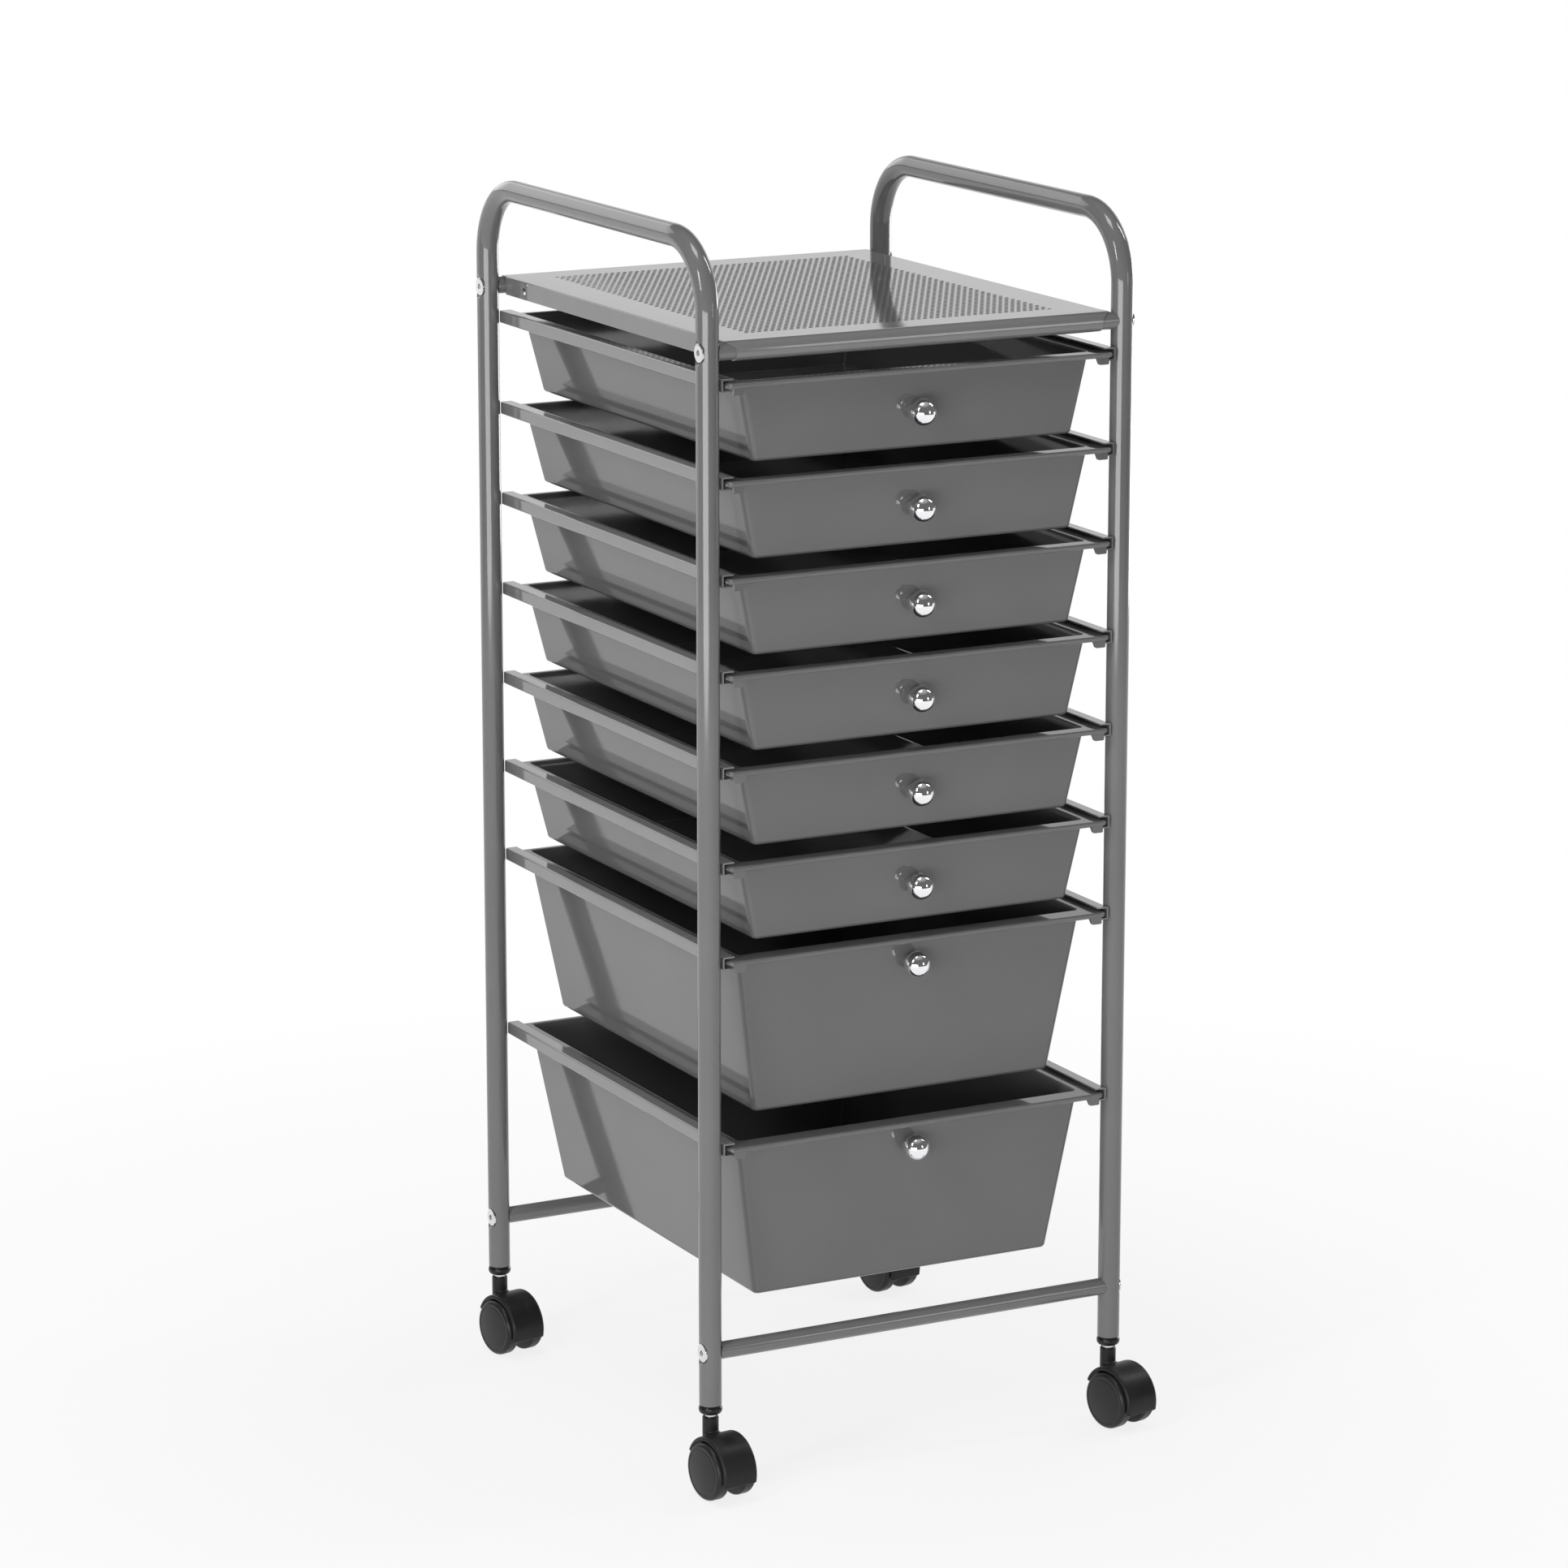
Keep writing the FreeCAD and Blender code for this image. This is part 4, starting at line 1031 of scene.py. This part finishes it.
@dataclass
class Drawer:
    """A tapered tub with a rounded rim, runners in the rails, stop tabs, and its knob with a screw.

    Drops, and the tabs' heights, count from the rail's top. The pad's rings give depths, and how far each
    stands out from its radius.
    """

    level: int
    knob: Knob
    wall: float = 1.8
    wall_top: float = 7.5
    wall_steps: int = 4
    mouth_half: float = 133.4
    mouth_rear: float = 166.0
    corner_front: float = 4.5
    corner_rear: float = 4.0
    corner_least: float = 0.4
    floor_round: float = 2.5
    rim_drop: float = 2.8
    rim_half: float = 145.4
    rim_front: float = 181.0
    rim_rear: float = 169.5
    rim_corner_front: float = 3.0
    rim_corner_rear: float = 1.5
    rim_thick: float = 2.2
    nose_thick: float = 3.6
    mouth_round: float = 1.3
    runner_inner: float = 143.2
    runner_drop: float = 7.7
    runner_tuck: float = 1.1
    runner_corners: Four = (0.8, 0.8, 0.2, 0.2)
    runner_front: float = -170.0
    runner_short: float = 1.5
    tab_inner: tuple[tuple[float, float], ...] = ((132.3, -4.4), (132.5, -5.8), (133.9, -8.9))
    tab_outer: tuple[float, float] = (142.4, -4.4)
    tab_low: tuple[tuple[float, float], ...] = ((135.9, -9.0), (141.4, -9.9))
    tab_radii: tuple[float, float] = (1.9, 1.0)
    tab_stations: Four = (-180.2, -179.8, -178.0, -177.6)
    tab_shares: Four = (0.93, 1.0, 1.0, 0.93)
    pad_radius: float = 6.0
    pad_rings: tuple[tuple[float, float], ...] = ((0.0, -0.4), (0.15, -0.1), (0.45, 0.0))
    pad_round: float = 0.4
    pad_proud: float = 0.9
    steps: int = 9

    @property
    def sizes(self) -> TubSizes:
        """Sizes of this drawer's kind."""
        return (DrawerKind.DEEP if self.level >= FIRST_DEEP_LEVEL else DrawerKind.SHALLOW).value

    @property
    def top(self) -> float:
        """Height of this drawer's rails."""
        return RAIL_TOPS[self.level - 1]

    def tapered(self, mouth: float, floor: float, drop: Array) -> Array:
        """A size of the tub at a depth, which goes evenly from the mouth's to the floor's."""
        share = (drop - self.rim_drop) / (self.sizes.depth - self.rim_drop)
        return mouth + (floor - mouth) * share

    def wall_loops(self, drop: Array, inset: Array) -> Array:
        """Outlines of the tub's wall, which narrows evenly from the mouth to the floor.

        Args:
            drop: Depth of each outline below the rail's top.
            inset: How far each lies inside the outer face.

        Returns:
            Points of shape (outlines, 4 * steps, 3).
        """
        sizes = self.sizes
        half = self.tapered(self.mouth_half, sizes.floor_half, drop) - inset
        front = self.tapered(sizes.mouth_front, sizes.floor_front, drop) - inset
        rear = self.tapered(self.mouth_rear, sizes.floor_rear, drop) - inset
        near = np.maximum(self.corner_front - inset, self.corner_least)
        points = tray_loops(half, front, rear, near, self.corner_rear - inset, self.steps)[0]
        return joined(points[..., 0], points[..., 1], (self.top - drop)[:, None])

    def skin(self, inset: float) -> Array:
        """One face of the tub from its floor up: a quarter round out of the floor, then the sloping wall."""
        turn = np.radians(np.linspace(0, 90, 8))
        radius = self.floor_round - inset
        floor = self.sizes.depth - inset
        upward = np.linspace(floor - radius, self.wall_top, self.wall_steps + 1)[1:]
        drop = np.concatenate([floor - radius * (1 - np.cos(turn)), upward])
        pulled = np.concatenate([radius * (1 - np.sin(turn)), np.zeros_like(upward)])
        return self.wall_loops(drop, inset + pulled)

    def rim(self) -> Array:
        """The rim: out along its underside, round its half-round edge and back along its top to the mouth.

        The edge's point is the rim's outline less half the thickness, plus half the thickness along the edge
        angle; the thickness grows from the sides to the front with the outward direction.

        Returns:
            Points of shape (outlines, 4 * steps, 3).
        """
        outline, heading = tray_loops(self.rim_half, self.rim_front, self.rim_rear, self.rim_corner_front,
                                      self.rim_corner_rear, self.steps)
        thick = self.rim_thick + (self.nose_thick - self.rim_thick) * smooth_step(-heading[:, 1])
        under = self.wall_loops(np.array([self.rim_drop + self.rim_thick]), np.zeros(1))
        under[0, :, 2] = self.top - self.rim_drop - thick
        turn = np.radians(np.linspace(0, 180, 11))[:, None]
        pull = (thick / 2) * (1 - np.sin(turn))
        plan = outline - pull[..., None] * heading
        height = self.top - self.rim_drop - (thick / 2) * (1 + np.cos(turn))
        edge = joined(plan[..., 0], plan[..., 1], height)
        turn = np.radians(np.linspace(0, 90, 5))
        mouth = self.wall_loops(self.rim_drop + self.mouth_round * (1 - np.cos(turn)),
                                self.wall - self.mouth_round * (1 - np.sin(turn)))
        return np.concatenate([under, edge, mouth])

    def add_runners(self, shape: Shape) -> None:
        """A runner under each side of the rim, and a stop tab under each end of the rounded front."""
        runner = rounded_box((self.runner_inner, -self.runner_drop),
                             (self.rim_half, -self.rim_drop - self.runner_tuck), self.runner_corners)
        tab = np.concatenate([
            self.tab_inner, arc(self.tab_low[0], self.tab_radii[0], 205, 270, 5),
            arc(self.tab_low[1], self.tab_radii[1], 270, 360, 5), [self.tab_outer]])
        middle = tab.mean(axis=0)
        share = np.array(self.tab_shares)[:, None, None]
        for side in Side:
            mirror, lift = (side.value, 1), (0, self.top)
            shape.bar(runner * mirror + lift, self.runner_front, self.rim_rear - self.runner_short)
            plan = (middle + share * (tab - middle)) * mirror + lift
            shape.loft(joined(plan[..., 0], np.array(self.tab_stations)[:, None], plan[..., 1]))

    def add_pad(self, shape: Shape) -> tuple[Point, Point]:
        """The round pad under the knob, through the sloping front wall, and the middles of its two faces."""
        sizes, wide, edge = self.sizes, self.pad_radius, self.pad_round
        face = -self.tapered(sizes.mouth_front, sizes.floor_front, sizes.knob_drop)
        height = self.top - sizes.knob_drop
        outside = (0, face - self.pad_proud, height)
        inside = (0, face + self.wall + self.pad_proud, height)
        deep = inside[1] - outside[1]
        profile = np.concatenate([
            [[0, 0]], np.array(self.pad_rings) + (0, wide),
            [[deep - edge, wide], [deep, wide - edge], [deep, 0]]])
        shape.grid(turned(profile, outside, TO_REAR), ring=True)
        return outside, inside

    def build(self, dresser: Dresser) -> None:
        """Makes the drawer, its knob and its screw."""
        shape = Shape()
        shape.loft(np.concatenate([self.skin(0.0), self.rim(), self.skin(self.wall)[::-1]]))
        self.add_runners(shape)
        outside, inside = self.add_pad(shape)
        dresser.dress(shape, DRAWER_PLASTIC, f"drawer_unit_{self.level}", f"drawer_{self.level}")
        self.knob.build(dresser, self.level, outside, inside)


# Casters


@dataclass
class CasterSockets:
    """Black plugs in the lower ends of the legs, each with a rounded collar."""

    collar: float = 8.15
    collar_high: float = 6.4
    collar_swell: float = 2.5
    sleeve: float = 6.45
    sleeve_start: float = -0.02
    bore: float = 4.1
    bevel: float = 0.4
    deep: float = 26.0
    around: int = 48

    def build(self, dresser: Dresser) -> None:
        """Makes the four sockets as one piece: a turned ring whose collar is half an ellipse."""
        bead = arc((-1, 0), 1, 180, 0, 15) * (self.collar_high / 2, self.collar_swell)
        profile = np.concatenate([
            bead + (0, self.collar - self.collar_swell),
            [[self.sleeve_start, self.sleeve], [self.deep, self.sleeve], [self.deep, self.bore],
             [self.bevel - self.collar_high, self.bore], [-self.collar_high, self.bore + self.bevel]]])
        shape = Shape()
        for side in Side:
            for end in End:
                base = (LEG_X * side.value, LEG_Y * end.value, LEG_BOTTOM)
                shape.grid(turned(profile, base, UP, self.around), ring=True, closed=True)
        dresser.dress(shape, SOCKET_PLASTIC, FIXED_BODY, "caster_sockets")


STEM = np.array([[43.1, 0], [43.1, 3.5], [43.6, 4.0], [83.0, 4.0], [84.0, 3.2], [84.0, 0]])
AXLE = np.array([[-15.0, 0], [-15.0, 2.2], [-14.7, 2.5], [14.7, 2.5], [15.0, 2.2], [15.0, 0]])


@dataclass
class Caster:
    """A twin-wheel caster: hooded housing with a neck, stem and axle, and two wheels.

    The web's low points give its outline below the hood, in y and z. The wheel's groove gives depths behind
    its face, and radii.
    """

    end: End
    side: Side
    turn: float
    trail: float = 14.0
    axle_high: float = 20.0
    hood_outer: float = 24.0
    hood_inner: float = 21.2
    hood_half: float = 13.25
    hood_front: float = -15.5
    hood_rear: float = 155.4
    hood_corners: Four = (0.4, 1.8, 1.8, 0.4)
    hood_ease: float = 1.4
    hood_end: tuple[float, float] = (0.6, 0.95)
    hood_steps: int = 44
    web_half: float = 4.0
    web_bow: float = 22.6
    web_low: tuple[tuple[float, float], ...] = ((1.6, 30.0), (1.6, 15.0), (0.6, 14.0), (-33.0, 14.0))
    web_steps: int = 30
    neck: float = 5.6
    neck_root: float = 22.7
    neck_sink: float = 0.05
    neck_straight: float = 48.0
    neck_top: float = 53.5
    neck_bevel: float = 0.6
    neck_turn: float = 84.0
    neck_steps: int = 7
    neck_around: int = 40
    flare: float = 2.2
    wheel: float = 20.0
    wheel_inner: float = 6.4
    wheel_outer: float = 17.0
    wheel_face: float = 16.0
    wheel_dome: float = 15.0
    dome_high: float = 0.9
    tread_round: float = 1.5
    tread_gap: float = 0.1
    shoulder: float = 3.0
    groove: tuple[tuple[float, float], ...] = ((-0.02, 16.4), (-0.15, 16.0), (-0.15, 15.7), (-0.02, 15.3))
    bore: float = 2.56
    bore_end: float = 15.2
    wheel_around: int = 64
    stem_around: int = 32
    axle_around: int = 24

    @property
    def axle(self) -> Point:
        """Middle of the axle before the caster is turned and moved."""
        return 0, -self.trail, self.axle_high

    def placed(self, points: Array) -> Array:
        """Turns points about the stem and moves them under the leg."""
        return spun(points, self.turn, LEG_X * self.side.value, LEG_Y * self.end.value)

    def about_axle(self, angle: Array, radius: Array, x: Array) -> Array:
        """Points about the axle: the angle counts from straight ahead over the top."""
        bend = np.radians(angle)
        return joined(x, -self.trail - radius * np.cos(bend), self.axle_high + radius * np.sin(bend))

    def hood(self) -> Array:
        """The hood: a rounded section in radius and width, carried round the axle, smaller at its ends."""
        full = rounded_box((self.hood_inner, -self.hood_half), (self.hood_outer, self.hood_half),
                           self.hood_corners, 6)
        middle = np.array([(self.hood_inner + self.hood_outer) / 2, 0.0])
        small = middle + (full - middle) * self.hood_end
        start, end = self.hood_front, self.hood_rear
        between = np.linspace(start + self.hood_ease, end - self.hood_ease, self.hood_steps)
        angle = np.concatenate([[start], between, [end]])
        section = np.stack([small] + [full] * self.hood_steps + [small])
        return self.about_axle(angle[:, None], section[..., 0], section[..., 1])

    def web(self) -> Array:
        """The middle web: the side view of the caster's body, given its thickness along x."""
        bend = np.linspace(self.hood_front, self.hood_rear, self.web_steps)
        outline = np.concatenate([self.about_axle(bend, self.web_bow, 0.0)[:, 1:], self.web_low])
        return joined(np.array([[-self.web_half], [self.web_half]]), outline[:, 0], outline[:, 1])

    def neck_skin(self) -> Array:
        """The neck: rings about the stem whose foot flares out and lies on the hood.

        A foot ring's height is that of the hood's cylinder below it, plus the flare's quarter round.

        Returns:
            Grid of shape (rings, points, 3).
        """
        bend = np.radians(np.linspace(0, self.neck_turn, self.neck_steps))
        radius = np.concatenate([[self.neck + self.flare], self.neck + self.flare * (1 - np.sin(bend))])
        lift = np.concatenate([[0.0], self.flare * (1 - np.cos(bend))])
        seat = np.concatenate([[self.neck_root], np.full_like(bend, self.hood_outer - self.neck_sink)])
        foot = radius[:, None, None] * ring_headings(UP, self.neck_around)
        reach = self.trail + foot[..., 1]
        foot[..., 2] = self.axle_high + np.sqrt(seat[:, None] ** 2 - reach ** 2) + lift[:, None]
        wide, top, bevel = self.neck, self.neck_top, self.neck_bevel
        profile = np.array([
            [self.neck_straight, wide], [top - bevel, wide], [top, wide - bevel], [top, 0.0]])
        return np.concatenate([foot, turned(profile, (0, 0, 0), UP, self.neck_around)])

    def wheel_profile(self) -> Array:
        """Places along the axle and radii of a wheel: blind bore, rounded tread and domed, grooved face."""
        rim, inner, face = self.wheel, self.wheel_inner, self.wheel_face
        tread, shoulder = self.tread_round, self.shoulder
        dome_r = np.linspace(self.wheel_dome, 0, 8)
        dome = np.stack([self.wheel_outer - self.dome_high * (dome_r / self.wheel_dome) ** 2, dome_r], -1)
        return np.concatenate([
            [[self.bore_end, 0], [self.bore_end, self.bore], [inner, self.bore],
             [inner, rim - tread - self.tread_gap]],
            arc((inner + tread, rim - tread), tread, 180, 90, 5),
            arc((face - shoulder, rim - shoulder), shoulder, 90, 8, 9),
            np.array(self.groove) + (face, 0), dome])

    def build(self, dresser: Dresser) -> None:
        """Makes the housing, the pins and the two wheels."""
        body = f"caster_{self.end.label}_{self.side.label}"
        shape = Shape()
        shape.loft(self.placed(self.hood()))
        shape.loft(self.placed(self.web()))
        neck = self.placed(self.neck_skin())
        shape.grid(neck, ring=True)
        shape.lid(neck[0])
        dresser.dress(shape, CASTER_PLASTIC, body, f"{body}_housing")

        shape = Shape()
        shape.grid(self.placed(turned(STEM, (0, 0, 0), UP, self.stem_around)), ring=True)
        shape.grid(self.placed(turned(AXLE, self.axle, (1, 0, 0), self.axle_around)), ring=True)
        dresser.dress(shape, PIN_STEEL, body, f"{body}_pins")

        for side in Side:
            shape = Shape()
            wheel = turned(self.wheel_profile(), self.axle, (side.value, 0, 0), self.wheel_around)
            shape.grid(self.placed(wheel), ring=True)
            node = f"{body}_wheel_{side.label}"
            dresser.dress(shape, WHEEL_PLASTIC, f"{node}_spinner", node)


# Stage


@dataclass(frozen=True)
class Lamp:
    """A softbox: a lamp with a width and a height."""

    name: str
    place: Point
    aim: Point
    size: tuple[float, float]
    power: float

    def build(self) -> None:
        """Adds the lamp, turned towards its aim."""
        light = bpy.data.lights.new(self.name, "AREA")
        light.shape = "RECTANGLE"
        light.size, light.size_y = self.size
        light.energy = self.power
        lamp = bpy.data.objects.new(self.name, light)
        lamp.location = self.place
        lamp.rotation_euler = (Vector(self.aim) - Vector(self.place)).to_track_quat("-Z", "Y").to_euler()
        bpy.context.scene.collection.objects.link(lamp)


@dataclass
class Studio:
    """Floor, lamps, surroundings and camera.

    The fields of four, apart from floor_tone, give a range and the levels at its two ends.
    """

    azimuth: float = 27.491
    elevation: float = 13.213
    distance: float = 4070.3
    lens_pixels: float = 6976.5
    image_pixels: float = 1932.0
    sensor: float = 36.0
    clip_end: float = 100.0
    across: float = -10.09
    upward: float = 370.20
    room: float = 0.25
    floor_reach: float = 30.0
    floor_drop: float = 0.0003
    floor_tone: Four = (0.9, 0.9, 0.9, 1.0)
    floor_near: Four = (2.6, 3.4, 1.0, 0.1)
    floor_behind: Four = (-0.2, 0.8, 0.0, 1.0)
    floor_white: Four = (0.3, 1.1, 0.82, 1.0)
    wall_behind: Four = (0.42, 0.72, 0.0, 0.85)
    wall_top: Four = (0.32, 0.55, 1.0, 0.0)
    ceiling: Four = (0.70, 0.92, 0.14, 0.4)
    lamps: tuple[Lamp, ...] = (
        Lamp("left", (-2.1, -0.9, 1.95), (0.0, 0.0, 0.45), (0.25, 0.9), 13.0),
        Lamp("left_low", (-1.9, -1.84, 0.35), (0.0, 0.0, 0.4), (2.4, 0.8), 34.0),
        Lamp("rear_left", (-0.6, 2.6, 1.78), (0.0, 0.0, 0.85), (2.2, 1.45), 12.5),
        Lamp("front_right", (1.15, -2.2, 0.85), (0.0, 0.0, 0.45), (0.4, 0.7), 2.5),
        Lamp("right", (2.0, -0.2, 2.3), (0.0, 0.0, 0.5), (0.3, 0.9), 11.0),
        Lamp("right_low", (2.4, 0.7, 0.5), (0.0, 0.0, 0.4), (1.4, 0.8), 20.0),
        Lamp("overhead", (-0.5, -0.3, 3.2), (0.0, 0.0, 0.5), (0.9, 0.9), 15.0),
    )

    @property
    def ahead(self) -> Point:
        """The level direction in which the camera looks."""
        turn = math.radians(self.azimuth)
        return math.sin(turn), math.cos(turn), 0.0

    def seen_directly(self, graph: Graph) -> Socket:
        """1 for rays from the camera, from gloss and through glass, and 0 for the others."""
        path = graph.add("ShaderNodeLightPath").outputs
        gloss = graph.math("MAXIMUM", path["Is Glossy Ray"], path["Is Transmission Ray"])
        return graph.math("MAXIMUM", path["Is Camera Ray"], gloss)

    def shown_level(self, graph: Graph, first: Socket, second: Socket) -> Socket:
        """The larger of two levels, and 1 for rays from the camera."""
        camera = graph.add("ShaderNodeLightPath").outputs["Is Camera Ray"]
        return graph.math("MAXIMUM", graph.math("MAXIMUM", first, second), camera)

    def floor(self) -> None:
        """A wide pale floor with a soft shadow, white to the camera, and to gloss dark far out in front."""
        mesh = bpy.data.meshes.new("floor")
        square = np.array([[-1, -1, 0], [1, -1, 0], [1, 1, 0], [-1, 1, 0]])
        corners = square * self.floor_reach - (0, 0, self.floor_drop)
        mesh.from_pydata(corners.tolist(), [], [(0, 1, 2, 3)])
        floor = bpy.data.objects.new("floor", mesh)
        bpy.context.scene.collection.objects.link(floor)
        material = bpy.data.materials.new("pale_floor")
        material.use_nodes = True
        material.node_tree.nodes.clear()
        graph = Graph(material.node_tree)
        pale = graph.add("ShaderNodeBsdfDiffuse", {"Color": self.floor_tone})
        place = graph.place()
        away = graph.add("ShaderNodeVectorMath", {0: place}, operation="LENGTH").outputs["Value"]
        near = graph.ranged(away, *self.floor_near)
        behind = graph.ranged(graph.along(place, self.ahead), *self.floor_behind)
        level = self.shown_level(graph, near, behind)
        white = graph.add("ShaderNodeEmission", {"Color": WHITE, "Strength": level})
        shown = graph.math("MULTIPLY", graph.ranged(away, *self.floor_white), self.seen_directly(graph))
        mixed = graph.add("ShaderNodeMixShader", {0: shown, 1: pale.outputs[0], 2: white.outputs[0]})
        graph.add("ShaderNodeOutputMaterial", {"Surface": mixed.outputs[0]})
        mesh.materials.append(material)

    def surroundings(self) -> None:
        """A backdrop, white to the camera and to gloss only behind the cart, and an even soft light."""
        world = bpy.data.worlds.new("studio")
        bpy.context.scene.world = world
        world.use_nodes = True
        world.node_tree.nodes.clear()
        graph = Graph(world.node_tree)
        ambient = graph.add("ShaderNodeBackground", {"Color": WHITE, "Strength": self.room})
        heading = graph.add("ShaderNodeTexCoord").outputs["Generated"]
        rise = graph.add("ShaderNodeSeparateXYZ", {0: heading}).outputs["Z"]
        behind = graph.ranged(graph.along(heading, self.ahead), *self.wall_behind)
        wall = graph.math("MULTIPLY", behind, graph.ranged(rise, *self.wall_top))
        level = self.shown_level(graph, wall, graph.ranged(rise, *self.ceiling))
        backdrop = graph.add("ShaderNodeBackground", {"Color": WHITE, "Strength": level})
        mixed = graph.add("ShaderNodeMixShader", {
            0: self.seen_directly(graph), 1: ambient.outputs[0], 2: backdrop.outputs[0]})
        graph.add("ShaderNodeOutputWorld", {"Surface": mixed.outputs[0]})

    def camera(self) -> None:
        """A camera at the photograph's angle: back along its line of sight, then aside and up."""
        turn, tilt = math.radians(self.azimuth), math.radians(self.elevation)
        forward = Vector((math.sin(turn) * math.cos(tilt), math.cos(turn) * math.cos(tilt), -math.sin(tilt)))
        right = Vector((math.cos(turn), -math.sin(turn), 0))
        upright = right.cross(forward)
        foot = Vector((0, SETBACK, LEG_BOTTOM))
        place = (-forward * self.distance + right * self.across + upright * self.upward + foot) * MM
        data = bpy.data.cameras.new("camera")
        data.sensor_width = self.sensor
        data.sensor_fit = "HORIZONTAL"
        data.lens = self.lens_pixels / self.image_pixels * self.sensor
        data.clip_end = self.clip_end
        camera = bpy.data.objects.new("camera", data)
        facing = Matrix((right, upright, -forward)).transposed().to_4x4()
        camera.matrix_world = Matrix.Translation(place) @ facing
        bpy.context.scene.collection.objects.link(camera)
        bpy.context.scene.camera = camera

    def build(self) -> None:
        """Sets up the whole studio."""
        self.floor()
        self.surroundings()
        for lamp in self.lamps:
            lamp.build()
        self.camera()
        bpy.context.scene.view_settings.view_transform = "Standard"


CASTER_TURNS = {
    (End.FRONT, Side.LEFT): 7.0,
    (End.FRONT, Side.RIGHT): 11.0,
    (End.REAR, Side.LEFT): 10.0,
    (End.REAR, Side.RIGHT): 9.0,
}


def main() -> None:
    """Builds the cart's sub-assemblies in order, then the studio."""
    logging.basicConfig(level=logging.INFO, format="%(message)s")
    dresser = Dresser(Effects())
    SideFrames().build(dresser)
    Crossbars().build(dresser)
    FrameBolts().build(dresser)
    dresser.cover("crossbar_inserts", INSERT_STEEL)
    TopShelf().build(dresser)
    Rails().build(dresser)
    for level in range(1, len(RAIL_TOPS) + 1):
        Drawer(level, Knob()).build(dresser)
    CasterSockets().build(dresser)
    for (end, side), turn in CASTER_TURNS.items():
        Caster(end, side, turn).build(dresser)
    Studio().build()


if __name__ == "__main__":
    main()
